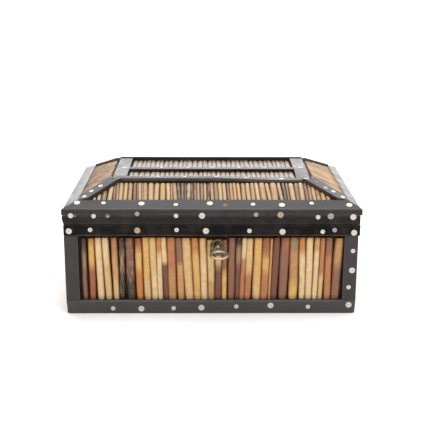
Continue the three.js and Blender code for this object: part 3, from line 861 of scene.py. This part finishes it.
# Widths and leans vary between these shares of the pitch, and bands of colour between these
# shares of an even division of the quill.
WIDTH_SPREAD = (0.8, 1.25)
LEAN_SPREAD = (-0.2, 0.2)
BAND_SPREAD = (0.7, 1.3)


def mixed_quills(length, pitch, foot, head, draw, kinds=QUILL_KINDS):
    """A row of quills drawn at random to fill a length, in the same form as the front's."""
    widths = [draw.uniform(*WIDTH_SPREAD) for _ in range(round(length / pitch))]
    fit = length / sum(widths)
    left = -length / 2
    row = []
    for width in widths:
        kind = draw.choice(kinds)
        bands = [kind[0]]
        for i, tone in enumerate(kind[1:]):
            share = (i + draw.uniform(*BAND_SPREAD)) / len(kind)
            bands += [(foot + (head - foot) * share) / MM, tone]
        row.append(
            (
                (left + width * fit / 2) / MM,
                width * fit / MM,
                draw.uniform(*LEAN_SPREAD) * pitch / MM,
                bands,
            )
        )
        left += width * fit
    return row


def seen_from_front(node, turn):
    """The corners of a node's box once its side of the object is turned to the front."""
    corners = [Matrix.Rotation(-turn, 3, "Z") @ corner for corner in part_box(node)]
    return Vector(map(min, *corners)), Vector(map(max, *corners))


SIDE_TURNS = {"front": 0, "right": math.pi / 2, "back": math.pi, "left": -math.pi / 2}
BASE_PITCH = 6.8 * MM
ROW_SPARE = 1 * MM
END_SPARE = 0.1 * MM
HEAD_UNEVEN = 0.9 * MM
# The quills press against each other, so each is this much wider than its place in the row.
BASE_CROWDED = 1.04
# The quills under the keyhole plate were cut short to clear its round top.
PLATE_X = 5.4
PLATE_REACH = 7.5
PLATE_CLEAR = 2 * MM
# Each panel's quills are numbered from a place of their own, so that no two panels are alike.
SERIALS_APART = 100
base_tube = unit_tube(sides=12, rings=12)
for side, turn in SIDE_TURNS.items():
    low, high = seen_from_front(f"base_{side}_quills", turn)
    draw = random.Random(f"base {side}")
    if side == "front":
        row = FRONT_QUILLS
    else:
        row = mixed_quills(high.x - low.x - ROW_SPARE, BASE_PITCH, low.z, high.z, draw)
    bed = quill_bed()
    for serial, (middle, width, lean, bands) in enumerate(row):
        head = high.z - END_SPARE - draw.uniform(0, HEAD_UNEVEN)
        if side == "front" and abs(middle - PLATE_X) < PLATE_REACH:
            head -= PLATE_CLEAR
        lay_quill(
            bed,
            base_tube,
            middle * MM,
            width * MM * BASE_CROWDED,
            lean * MM,
            bands,
            low.z + END_SPARE,
            head,
            high.y - low.y,
            serial + SERIALS_APART * turn,
            decay=FRONT_DECAY.get(middle, 0) if side == "front" else 0,
        )
    upright = Matrix.Rotation(turn, 4, "Z") @ Matrix.Translation((0, high.y, 0))
    upright = upright @ Matrix.Rotation(math.pi / 2, 4, "X")
    bmesh.ops.transform(bed, matrix=upright, verts=bed.verts)
    make(f"quills_base_{side}", bed, quill, "base", "quill", f"base_{side}_quills")

# The lid's quills: shorter lengths, laid up the four slopes and cut off at the hip strips, and
# two rows from front to back on the flat top. Each panel's are greyed towards a faded tone by a share
# of its own.
ROOF_SHIFT = 0.6 * MM
# How far out the ledge and the flat top reach on each side, and how high they lie.
LEDGE_OUT = {"front": 69.8 * MM, "right": 122.8 * MM, "back": 69.8 * MM, "left": 120.6 * MM}
LEDGE_Z = 105 * MM
TOP_OUT = {"front": 42.9 * MM, "right": 92.2 * MM, "back": 47.1 * MM, "left": 92.2 * MM}
TOP_Z = 118.1 * MM
# How deep the quills' crowns lie under the line from the ledge to the top, and how thick they are.
CROWN_DROP = {"front": 1.6 * MM, "right": 0.2 * MM, "back": 1.6 * MM, "left": 0.2 * MM}
SLOPE_QUILL_T = {"front": 4.7 * MM, "right": 6.1 * MM, "back": 4.7 * MM, "left": 6.1 * MM}
# How far the quills stop short of the ledge and of the top. Their feet are so many times more
# even than their heads, and a hip strip hides where they are cut off, but for a crack beside it.
FOOT_SHORT = {"front": 0.35 * MM, "right": 1.8 * MM, "back": 0.35 * MM, "left": 1.2 * MM}
HEAD_SHORT = {"front": 0.9 * MM, "right": 0.5 * MM, "back": 5.7 * MM, "left": 0.5 * MM}
FOOT_EVENER = 3
HIP_HALF_W = 6 * MM
HIP_CRACK = 0.35 * MM
SLOPE_PITCH = 5 * MM
SLOPE_CROWDED = 1.12
SLOPE_SERIALS_APART = 50
TOP_PITCH = 4.67 * MM
TOP_CROWDED = 1.16
TOP_FIRST_SERIAL = 300
# How far the quills are greyed, how split, and what kinds there are on each slope.
SLOPE_FADE = {"front": 0.5, "right": 0.34, "back": 0.5, "left": 0.05}
TOP_FADE = 0.9
SLOPE_DECAY = {"right": 0.35, "back": 0, "left": 0.8}
SLOPE_KINDS = {
    "right": [
        ("sand",),
        ("clay", "ash"),
        ("straw",),
        ("tan", "mauve"),
        ("sand", "clay"),
        ("ash",),
    ],
    "back": QUILL_KINDS,
    "left": [
        ("ash",),
        ("mauve", "ash"),
        ("ash", "tan"),
        ("mauve",),
        ("ash", "sand"),
        ("plum", "ash"),
    ],
}
# The front slope's own quills, from the left, in the same form as the front panel's.
FRONT_SLOPE_QUILLS = [
    (-105.6, 3.0, 0.6, ("cream",)),
    (-101.8, 3.6, 0.6, ("cream",)),
    (-97.2, 4.2, 0.3, ("ash",)),
    (-91.9, 4.4, 1.2, ("cream",)),
    (-88.2, 2.6, -0.5, ("mauve",)),
    (-85.6, 2.9, -0.9, ("tan",)),
    (-82.3, 4.0, -0.4, ("straw",)),
    (-78.2, 3.8, -0.3, ("straw",)),
    (-74.0, 4.0, -0.7, ("sand",)),
    (-69.9, 2.9, -0.7, ("mauve",)),
    (-67.4, 1.8, -1.1, ("plum",)),
    (-65.2, 3.2, -1.5, ("straw",)),
    (-62.8, 2.2, -1.5, ("clay",)),
    (-60.2, 4.2, -1.1, ("sand",)),
    (-55.2, 5.0, -0.9, ("straw",)),
    (-49.9, 4.6, 0.1, ("straw",)),
    (-44.3, 5.2, -0.2, ("gold",)),
    (-39.2, 3.8, -1.2, ("cream",)),
    (-36.2, 2.2, -1.3, ("tan",)),
    (-33.2, 3.9, -2.2, ("sand",)),
    (-29.6, 3.4, -1.6, ("plum",)),
    (-26.3, 3.2, -0.5, ("mauve",)),
    (-23.6, 2.4, -0.4, ("smoked",)),
    (-20.6, 4.0, 0.4, ("straw",)),
    (-17.6, 2.4, -0.8, ("plum",)),
    (-14.8, 3.4, -0.6, ("mauve",)),
    (-11.8, 3.0, -0.6, ("sand",)),
    (-8.6, 2.8, -0.5, ("ash",)),
    (-5.6, 2.8, -0.5, ("straw",)),
    (-2.6, 3.2, 0.6, ("smoked",)),
    (0.7, 3.4, -0.8, ("sand",)),
    (4.4, 3.6, -0.9, ("ash",)),
    (8.3, 3.9, -1.0, ("straw",)),
    (12.0, 3.6, -1.0, ("straw",)),
    (15.6, 2.6, -1.2, ("mauve",)),
    (18.4, 3.2, -1.2, ("sand",)),
    (21.6, 3.2, -1.2, ("gold",)),
    (25.2, 3.4, -1.3, ("straw",)),
    (29.4, 4.0, -0.9, ("sand",)),
    (33.7, 4.0, -1.1, ("straw",)),
    (38.0, 4.0, -1.1, ("sand",)),
    (42.2, 3.8, -1.9, ("cream",)),
    (47.4, 5.6, -1.8, ("sand",)),
    (52.4, 3.6, -2.7, ("straw",)),
    (57.6, 6.4, -1.7, ("sand",)),
    (63.2, 3.4, -2.5, ("straw",)),
    (67.0, 3.0, -1.7, ("smoked",)),
    (70.0, 2.6, -1.4, ("mauve",)),
    (74.0, 4.8, -1.4, ("straw",)),
    (78.6, 3.8, -0.6, ("mauve",)),
    (82.9, 4.6, -0.5, ("straw",)),
    (87.0, 3.2, -0.7, ("mauve",)),
    (90.2, 3.0, -0.7, ("tan",)),
    (93.6, 3.8, -1.2, ("straw",)),
    (97.4, 4.0, -1.2, ("gold",)),
    (101.6, 4.2, -1.2, ("gold",)),
    (106.0, 4.0, -1.2, ("sand",)),
]
# The split ones, by their middles.
BROKEN = {-29.6, -26.3, -23.6, -20.6, -17.6, -14.8, -2.6, 97.4}


slope_tube = unit_tube(sides=10, rings=5)
sides_round = list(SIDE_TURNS)
roof_pitch = {
    side: math.atan2(TOP_Z - LEDGE_Z, LEDGE_OUT[side] - TOP_OUT[side]) for side in sides_round
}
for place, (side, turn) in enumerate(SIDE_TURNS.items()):
    before, after = sides_round[place - 1], sides_round[(place + 1) % 4]
    out, top = LEDGE_OUT[side], TOP_OUT[side]
    pitch = roof_pitch[side]
    length = (out - top) / math.cos(pitch)
    draw = random.Random(f"slope {side}")
    if side == "front":
        row = FRONT_SLOPE_QUILLS
        shift = -ROOF_SHIFT
    else:
        across = LEDGE_OUT[before] + LEDGE_OUT[after]
        row = mixed_quills(across, SLOPE_PITCH, 0, length, draw, SLOPE_KINDS[side])
        shift = (LEDGE_OUT[after] - LEDGE_OUT[before]) / 2
    bed = quill_bed()
    for serial, (middle, width, lean, bands) in enumerate(row):
        lay_quill(
            bed,
            slope_tube,
            shift + middle * MM,
            width * MM * SLOPE_CROWDED,
            lean * MM,
            bands,
            FOOT_SHORT[side] - draw.uniform(0, HEAD_UNEVEN) / FOOT_EVENER,
            length - HEAD_SHORT[side] - draw.uniform(0, HEAD_UNEVEN),
            SLOPE_QUILL_T[side],
            serial + SLOPE_SERIALS_APART * place,
            decay=float(middle in BROKEN) if side == "front" else SLOPE_DECAY[side],
            fade=SLOPE_FADE[side],
        )
    rise = LEDGE_Z - (CROWN_DROP[side] + SLOPE_QUILL_T[side]) / math.cos(pitch)
    onto_slope = Matrix.Translation((0, -out, rise)) @ Matrix.Rotation(pitch, 4, "X")
    bmesh.ops.transform(bed, matrix=onto_slope, verts=bed.verts)
    for hand, neighbour in ((-1, before), (1, after)):
        foot_corner = Vector((hand * LEDGE_OUT[neighbour], -out, LEDGE_Z))
        head_corner = Vector((hand * TOP_OUT[neighbour], -top, TOP_Z))
        own_face = Vector((0, -math.sin(pitch), math.cos(pitch)))
        other = roof_pitch[neighbour]
        other_face = Vector((hand * math.sin(other), 0, math.cos(other)))
        aside = (head_corner - foot_corner).cross(own_face + other_face).normalized()
        if aside.x * hand < 0:
            aside.negate()
        clip(bed, foot_corner - aside * (HIP_HALF_W + HIP_CRACK), aside)
    place_round = Matrix.Translation((ROOF_SHIFT, 0, 0)) @ Matrix.Rotation(turn, 4, "Z")
    bmesh.ops.transform(bed, matrix=place_round, verts=bed.verts)
    make(f"quills_lid_{side}_slope", bed, quill, "lid", "quill", f"lid_{side}_slope_quills")

for bay in ("front", "rear"):
    low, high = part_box(f"lid_top_quills_{bay}")
    draw = random.Random(f"top {bay}")
    bed = quill_bed()
    row = mixed_quills(high.x - low.x - ROW_SPARE, TOP_PITCH, low.y, high.y, draw)
    for serial, (middle, width, lean, bands) in enumerate(row):
        lay_quill(
            bed,
            slope_tube,
            ROOF_SHIFT + middle * MM,
            width * MM * TOP_CROWDED,
            lean * MM,
            bands,
            low.y + END_SPARE,
            high.y - END_SPARE - draw.uniform(0, HEAD_UNEVEN),
            high.z - low.z,
            serial + TOP_FIRST_SERIAL,
            fade=TOP_FADE,
        )
    bmesh.ops.translate(bed, vec=(0, 0, low.z), verts=bed.verts)
    make(f"quills_lid_top_{bay}", bed, quill, "lid", "quill", f"lid_top_quills_{bay}")


# The dots: round slices of bone, let into the ebony and rubbed down almost flush with it. They
# follow each rail in turn large and small, and a dark pip in the middle shows the drill's centre.
DOT_TONES = {
    "bone": "#d8d0c0",
    "grey": "#a39d92",
    "tan": "#b49a7e",
    "brown": "#6b5038",
    # An empty socket is a near-black disc: painted shade where the hole is.
    "hole_shade": "#171310",
}
DOT_PIP = "#8a7a66"
LARGE = 5.9
SMALL = 4.4
DOT_SIDES = 14
DOT_PROUD = 0.08 * MM
DOT_SUNK = 0.5 * MM
DOT_TAPER = 0.94
# Where a dot has worn away, a smaller slice a little prouder is what is left, or its brown bed, or a
# near-black disc of painted shade for an empty socket.
REMNANT_PROUD = 0.03 * MM
# A dot's place moves it this far on through the bone's cloudiness, so that no two are alike.
CLOUD_STEP_X = 5
CLOUD_STEP_Y = 3


def dot_bed():
    """An empty shape with what a dot's points carry: tone and place from its middle."""
    bed = bmesh.new()
    bed.verts.layers.float_color.new("tone")
    bed.verts.layers.float_vector.new("dot_place")
    return bed


def lay_dots(bed, face, dots):
    """Lays dots on a face whose frame is given: x and y along it and z out of it, in mm."""
    tone = bed.verts.layers.float_color["tone"]
    dot_place = bed.verts.layers.float_vector["dot_place"]
    for x, y, across, kind in dots:
        radius = across / 2 * MM
        cloud = Vector((0, 0, CLOUD_STEP_X * x + CLOUD_STEP_Y * y))
        where = Vector((x, y, 0)) * MM
        if across < SMALL:
            where.z = REMNANT_PROUD
        made = bmesh.ops.create_cone(
            bed,
            cap_ends=True,
            segments=DOT_SIDES,
            radius1=radius,
            radius2=radius * DOT_TAPER,
            depth=DOT_PROUD + DOT_SUNK,
            matrix=Matrix.Translation((0, 0, (DOT_PROUD - DOT_SUNK) / 2)),
        )
        for v in made["verts"]:
            v[tone] = linear(DOT_TONES[kind])
            v[dot_place] = v.co / radius + cloud
            v.co = face @ (v.co + where)


# Bone rubbed flush is a cloudy off-white with a low polish. Dirt darkens its pip and its rim.
bone, bone_tree, bone_shader = surface("bone_sawn_and_rubbed_flush", Roughness=0.42, IOR=1.5)
bone_tone = add(bone_tree, "ShaderNodeAttribute", attribute_name="tone").outputs["Color"]
bone_spot = add(bone_tree, "ShaderNodeAttribute", attribute_name="dot_place").outputs["Vector"]
flat_spot = add(
    bone_tree, "ShaderNodeVectorMath", {0: bone_spot, 1: (1, 1, 0)}, operation="MULTIPLY"
).outputs[0]
from_middle = add(
    bone_tree, "ShaderNodeVectorMath", {0: flat_spot}, operation="LENGTH"
).outputs["Value"]
bone_cloud = add(
    bone_tree, "ShaderNodeTexNoise", {"Vector": bone_spot, "Scale": 1.4, "Detail": 3}
).outputs[0]
pip_share = add(
    bone_tree,
    "ShaderNodeMapRange",
    {"Value": from_middle, "From Min": 0.22, "From Max": 0.12, "To Max": 0.55},
).outputs[0]
rim_share = add(
    bone_tree,
    "ShaderNodeMapRange",
    {"Value": from_middle, "From Min": 0.82, "From Max": 0.98, "To Max": 0.45},
).outputs[0]
mark_share = add(
    bone_tree, "ShaderNodeMath", {0: pip_share, 1: rim_share}, operation="MAXIMUM"
).outputs[0]
cloud_light = add(
    bone_tree,
    "ShaderNodeMapRange",
    {"Value": bone_cloud, "From Min": 0.3, "From Max": 0.7, "To Min": 0.82, "To Max": 1.05},
).outputs[0]
clouded = add(
    bone_tree,
    "ShaderNodeVectorMath",
    {0: bone_tone, "Scale": cloud_light},
    operation="SCALE",
).outputs[0]
bone_colour = add(
    bone_tree,
    "ShaderNodeMix",
    {"Factor": mark_share, COLOUR_A: clouded, COLOUR_B: linear(DOT_PIP)},
    data_type="RGBA",
).outputs[MIXED]
bone_tree.links.new(bone_colour, bone_shader.inputs["Base Color"])

# The front's dots, and the lid's, each have their place on their face, their size and their tone.
BASE_FRONT_DOTS = [
    (-127.5, 79.1, LARGE, "bone"),
    (-108.4, 80.3, SMALL, "bone"),
    (-66.3, 79.8, LARGE, "tan"),
    (-31.1, 80.3, SMALL, "bone"),
    (-4.9, 79.3, LARGE, "bone"),
    (34.1, 79.4, SMALL, "bone"),
    (63.8, 78.5, LARGE, "bone"),
    (99.9, 78.6, SMALL, "bone"),
    (110.6, 80.1, SMALL, "grey"),
    (128.2, 77.6, LARGE, "bone"),
    (-90.0, 5.0, SMALL, "bone"),
    (-64.1, 4.7, LARGE, "bone"),
    (-34.5, 5.1, SMALL, "bone"),
    (-9.0, 5.6, LARGE, "bone"),
    (23.0, 6.7, SMALL, "bone"),
    (54.5, 7.7, LARGE, "bone"),
    (88.9, 6.4, SMALL, "bone"),
    (126.3, 8.2, LARGE, "bone"),
    (128.0, 60.4, SMALL, "bone"),
    (127.9, 41.8, LARGE, "bone"),
    (125.5, 25.5, SMALL, "bone"),
]
BAND_FRONT_DOTS = [
    (-125.2, 93.7, 5.0, "bone"),
    (-121.5, 93.5, 3.2, "brown"),
    (-104.8, 93.3, SMALL, "bone"),
    (-92.7, 93.6, SMALL, "brown"),
    (-92.0, 93.0, 2.4, "tan"),
    (-66.1, 95.4, SMALL, "grey"),
    (-31.5, 93.6, SMALL, "bone"),
    (-8.4, 93.7, LARGE, "bone"),
    (39.8, 94.8, SMALL, "grey"),
    (61.6, 94.5, LARGE, "tan"),
    (95.2, 92.4, SMALL, "bone"),
    (106.5, 93.2, LARGE, "grey"),
    (126.7, 92.5, LARGE, "bone"),
]
LEDGE_FRONT_DOTS = [
    (-120.3, 9.7, LARGE, "bone"),
    (-96.6, 9.4, SMALL, "bone"),
    (-62.6, 8.4, LARGE, "bone"),
    (-31.8, 6.9, SMALL, "bone"),
    (-1.4, 8.8, LARGE, "bone"),
    (12.3, 6.2, SMALL, "brown"),
    (37.3, 7.4, SMALL, "bone"),
    (63.1, 6.4, LARGE, "bone"),
    (90.0, 9.0, SMALL, "bone"),
    (123.6, 6.4, LARGE, "bone"),
]
TOP_DOTS = [
    (-49.6, -35.7, SMALL, "grey"),
    (-24.9, -36.1, SMALL, "grey"),
    (5.0, -35.6, SMALL, "grey"),
    (33.0, -36.3, SMALL, "grey"),
    (65.7, -36.9, SMALL, "bone"),
    (88.7, -36.8, LARGE, "bone"),
    (-48.1, 1.7, SMALL, "grey"),
    (-22.3, 1.3, SMALL, "grey"),
    (1.1, 2.3, SMALL, "grey"),
    (27.4, 1.9, SMALL, "grey"),
    (51.8, 2.0, SMALL, "grey"),
    (-84.1, 1.5, LARGE, "grey"),
    (87.4, 2.2, LARGE, "grey"),
    (-84.5, 23.9, 2.8, "hole_shade"),
]
HIP_DOTS = {
    "front_left": [(7.0, 0.5, SMALL, "bone"), (16.7, -1.0, SMALL, "bone"), (27.1, -0.2, SMALL, "bone")],
    "front_right": [
        (6.0, 0.4, SMALL, "bone"),
        (17.0, 0.5, SMALL, "bone"),
        (25.0, -0.8, SMALL, "tan"),
        (36.1, 0.5, SMALL, "brown"),
    ],
    "back_right": [(6.0, 0.2, SMALL, "bone"), (17.0, -0.3, SMALL, "bone"), (28.0, 0.1, SMALL, "tan")],
    "back_left": [(5.0, -0.2, SMALL, "bone"), (16.5, 0.3, SMALL, "bone"), (27.0, 0.0, SMALL, "bone")],
}
HIP_DROP = {"front": 0.4 * MM, "back": -0.2 * MM}
# The rows on the other sides: how far apart the dots are, how far a dot strays along and across
# its rail, what tones they have, how high the rows lie and how far they stop short of a corner.
DOT_PITCH = 31
STRAY_ALONG = 3
STRAY_ACROSS = 0.9
KINDS_ELSEWHERE = ["bone", "bone", "bone", "bone", "tan", "grey"]
TOP_RAIL_DOTS_Z = 79.4
BOTTOM_RAIL_DOTS_Z = 6.2
BAND_DOTS_Z = 92.2
LEDGE_DOTS_UP = 8
POST_DOTS = [(60.5, SMALL), (42.5, LARGE), (24.5, SMALL)]
CORNER_CLEAR = 4
MITRE_CLEAR = 6
POST_DOTS_IN = 5


def row_of_dots(half_length, height, draw):
    """A rail's dots, large and small in turn."""
    count = max(2, round(2 * half_length / DOT_PITCH))
    step = 2 * half_length / count
    return [
        (
            -half_length + step * (i + 0.5) + draw.uniform(-STRAY_ALONG, STRAY_ALONG),
            height + draw.uniform(-STRAY_ACROSS, STRAY_ACROSS),
            LARGE if i % 2 else SMALL,
            draw.choice(KINDS_ELSEWHERE),
        )
        for i in range(count)
    ]


# How far out each face stands, in mm, and how high the eave lies.
NOSE_OUT = {"front": 83.2, "right": 134.5, "back": 83.2, "left": 134.5}
EAVE_Z = 99.8
BASE_OUT = {"front": 82.5, "right": 132.5, "back": 82.5, "left": 132.5}
BAND_OUT = {"front": 83.2, "right": 133.4, "back": 83.2, "left": 133.4}
standing = Matrix.Rotation(math.pi / 2, 4, "X")
base_dots, lid_dots = dot_bed(), dot_bed()
for side, turn in SIDE_TURNS.items():
    draw = random.Random(f"dots {side}")
    corner_x = BASE_OUT["right" if side in ("front", "back") else "front"]
    half = corner_x - CORNER_CLEAR
    round_side = Matrix.Rotation(turn, 4, "Z")
    on_base = round_side @ Matrix.Translation((0, -BASE_OUT[side] * MM, 0)) @ standing
    on_band = round_side @ Matrix.Translation((0, -BAND_OUT[side] * MM, 0)) @ standing
    ledge_run = NOSE_OUT[side] * MM - LEDGE_OUT[side]
    ledge_slope = math.atan2(LEDGE_Z - EAVE_Z * MM, ledge_run)
    on_ledge = (
        Matrix.Translation((ROOF_SHIFT if side != "front" else 0, 0, 0))
        @ round_side
        @ Matrix.Translation((0, -NOSE_OUT[side] * MM, EAVE_Z * MM))
        @ Matrix.Rotation(ledge_slope, 4, "X")
    )
    if side == "front":
        base_row, band_row, ledge_row = BASE_FRONT_DOTS, BAND_FRONT_DOTS, LEDGE_FRONT_DOTS
    else:
        base_row = row_of_dots(half, TOP_RAIL_DOTS_Z, draw)
        base_row += row_of_dots(half, BOTTOM_RAIL_DOTS_Z, draw)
        for hand in (-1, 1):
            post_x = hand * (corner_x - POST_DOTS_IN)
            base_row += [(post_x, height, across, "bone") for height, across in POST_DOTS]
        band_row = row_of_dots(half, BAND_DOTS_Z, draw)
        ledge_row = []
        if side == "back":
            ledge_row = row_of_dots(half - MITRE_CLEAR, LEDGE_DOTS_UP, draw)
    lay_dots(base_dots, on_base, base_row)
    lay_dots(lid_dots, on_band, band_row)
    lay_dots(lid_dots, on_ledge, ledge_row)
for dot in TOP_DOTS:
    x, y = dot[:2]
    there = sunk(Vector((x, y, TOP_Z / MM)) * MM)
    lay_dots(lid_dots, Matrix.Translation((0, 0, there.z)), [dot])
for corner, dots in HIP_DOTS.items():
    end, hand = corner.split("_")
    sx = 1 if hand == "right" else -1
    sy = 1 if end == "back" else -1
    foot = Vector((sx * LEDGE_OUT[hand] + ROOF_SHIFT, sy * LEDGE_OUT[end], LEDGE_Z))
    head = Vector((sx * TOP_OUT[hand] + ROOF_SHIFT, sy * TOP_OUT[end], TOP_Z))
    long_pitch, short_pitch = roof_pitch[end], roof_pitch[hand]
    up = (head - foot).normalized()
    outwards = Vector((0, sy * math.sin(long_pitch), math.cos(long_pitch)))
    outwards += Vector((sx * math.sin(short_pitch), 0, math.cos(short_pitch)))
    outwards.normalize()
    across = up.cross(outwards)
    on_hip = Matrix.Translation(foot - outwards * HIP_DROP[end])
    on_hip = on_hip @ Matrix((across, up, outwards)).transposed().to_4x4()
    lay_dots(lid_dots, on_hip, [(aside, run, size, kind) for run, aside, size, kind in dots])
make("bone_dots_base", base_dots, bone, "base", "bone")
make("bone_dots_lid", lid_dots, bone, "lid", "bone")


# The brass plate and hinges: a cast keyhole plate with a raised rim, let into the quills, and two
# butt hinges let into the back. All have gone brown, and are bright only where rubbed.
BRASS_DARK = "#4d4232"
BRASS_WORN = "#b7a788"
BRASS_EASE = 0.25 * MM
HINGE_EASE = 0.1 * MM
TARNISH_PATCH = 3 * MM
# Tarnished brass is a dull brown metal in cloudy patches, yellow and glossy where it is rubbed.
brass, brass_tree, brass_shader = surface("brass_cast_filed_and_tarnished", Metallic=0.85)
brass_place = add(brass_tree, "ShaderNodeTexCoord").outputs["Object"]
tarnish = add(
    brass_tree,
    "ShaderNodeTexNoise",
    {"Vector": brass_place, "Scale": 1 / TARNISH_PATCH, "Detail": 5},
).outputs[0]
brass_worn = add(brass_tree, "ShaderNodeAttribute", attribute_name="worn").outputs["Fac"]
brass_bright = add(
    brass_tree,
    "ShaderNodeMath",
    {0: tarnish, 1: brass_worn},
    operation="ADD",
).outputs[0]
brass_share = add(
    brass_tree,
    "ShaderNodeMapRange",
    {"Value": brass_bright, "From Min": 0.4, "From Max": 1.3},
).outputs[0]
brass_colour = add(
    brass_tree,
    "ShaderNodeMix",
    {"Factor": brass_share, COLOUR_A: linear(BRASS_DARK), COLOUR_B: linear(BRASS_WORN)},
    data_type="RGBA",
).outputs[MIXED]
brass_tree.links.new(brass_colour, brass_shader.inputs["Base Color"])
brass_roughness = add(
    brass_tree,
    "ShaderNodeMapRange",
    {"Value": brass_bright, "From Min": 0.4, "From Max": 1.4, "To Min": 0.5, "To Max": 0.3},
).outputs[0]
brass_tree.links.new(brass_roughness, brass_shader.inputs["Roughness"])

BRASS_NODES = {
    "base": ["keyhole_plate", "base_hinge_leaf_left", "base_hinge_leaf_right"],
    "lid": ["lid_hinge_leaf_left", "lid_hinge_leaf_right"],
}
for body, nodes in BRASS_NODES.items():
    for node in nodes:
        casting = merged_copy(node)
        ease_arrises(casting, BRASS_EASE if node == "keyhole_plate" else HINGE_EASE, 1)
        make(f"brass_{node}", casting, brass, body, "aged_brass", node)


# The key: cast brass, its shaft and collar turned and its oval bow filed round. It stands in the
# lock, drooping a little and turned a little to the right, its bow bright from handling.
KEYHOLE_AT = Vector((5.4, -81.1, 66.6)) * MM
KEY_DROOP = math.radians(10)
KEY_TURN = math.radians(4)
# The shaft's outline from its inner end out: how far out along the shaft, and its radius, in mm.
KEY_PROFILE = [
    (-8.5, 0),
    (-8.5, 1.9),
    (0, 1.9),
    (6.3, 1.85),
    (6.5, 2.4),
    (6.9, 2.7),
    (7.7, 2.7),
    (8.1, 2.4),
    (8.3, 1.85),
    (12.6, 1.7),
    (14.2, 1.9),
    (14.6, 0),
]
KEY_SIDES = 20
BOW_MIDDLE = -21.35 * MM
BOW_ACROSS = 7.55 * MM
BOW_ALONG = 6.75 * MM
BOW_HALF_BAR = 1.25 * MM
BOW_HALF_T = 1.05 * MM
BOW_BAR_SIDES = 10
BOW_STEPS = 40
SHAFT_WORN = 0.25
BOW_WORN = 0.75
key = bmesh.new()
key_worn = key.loops.layers.float.new("worn")
profile = [key.verts.new((radius * MM, -out * MM, 0)) for out, radius in KEY_PROFILE]
lines = [key.edges.new(pair) for pair in zip(profile, profile[1:])]
bmesh.ops.spin(
    key,
    geom=[*profile, *lines],
    cent=(0, 0, 0),
    axis=(0, 1, 0),
    angle=2 * math.pi,
    steps=KEY_SIDES,
    use_merge=True,
)
bmesh.ops.remove_doubles(key, verts=key.verts, dist=MERGE_WITHIN)
for face in key.faces:
    for corner in face.loops:
        corner[key_worn] = SHAFT_WORN
shaft_faces = set(key.faces)
section = bmesh.ops.create_circle(key, cap_ends=False, radius=1, segments=BOW_BAR_SIDES)["verts"]
section_edges = dict.fromkeys(edge for v in section for edge in v.link_edges)
for v in section:
    v.co = (BOW_ACROSS + v.co.x * BOW_HALF_BAR, 0, v.co.y * BOW_HALF_T)
bmesh.ops.spin(
    key,
    geom=[*section, *section_edges],
    cent=(0, 0, 0),
    axis=(0, 0, 1),
    angle=2 * math.pi,
    steps=BOW_STEPS,
    use_merge=True,
)
bow_faces = [face for face in key.faces if face not in shaft_faces]
bow_verts = {v for face in bow_faces for v in face.verts}
for face in bow_faces:
    for corner in face.loops:
        corner[key_worn] = BOW_WORN
for v in bow_verts:
    v.co.y = v.co.y * BOW_ALONG / BOW_ACROSS + BOW_MIDDLE
for face in key.faces:
    face.smooth = True
in_lock = (
    Matrix.Translation(KEYHOLE_AT)
    @ Matrix.Rotation(KEY_DROOP, 4, "X")
    @ Matrix.Rotation(KEY_TURN, 4, "Z")
)
bmesh.ops.transform(key, matrix=in_lock, verts=key.verts)
make("brass_key", key, brass, "base", "aged_brass", "key")


low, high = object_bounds()
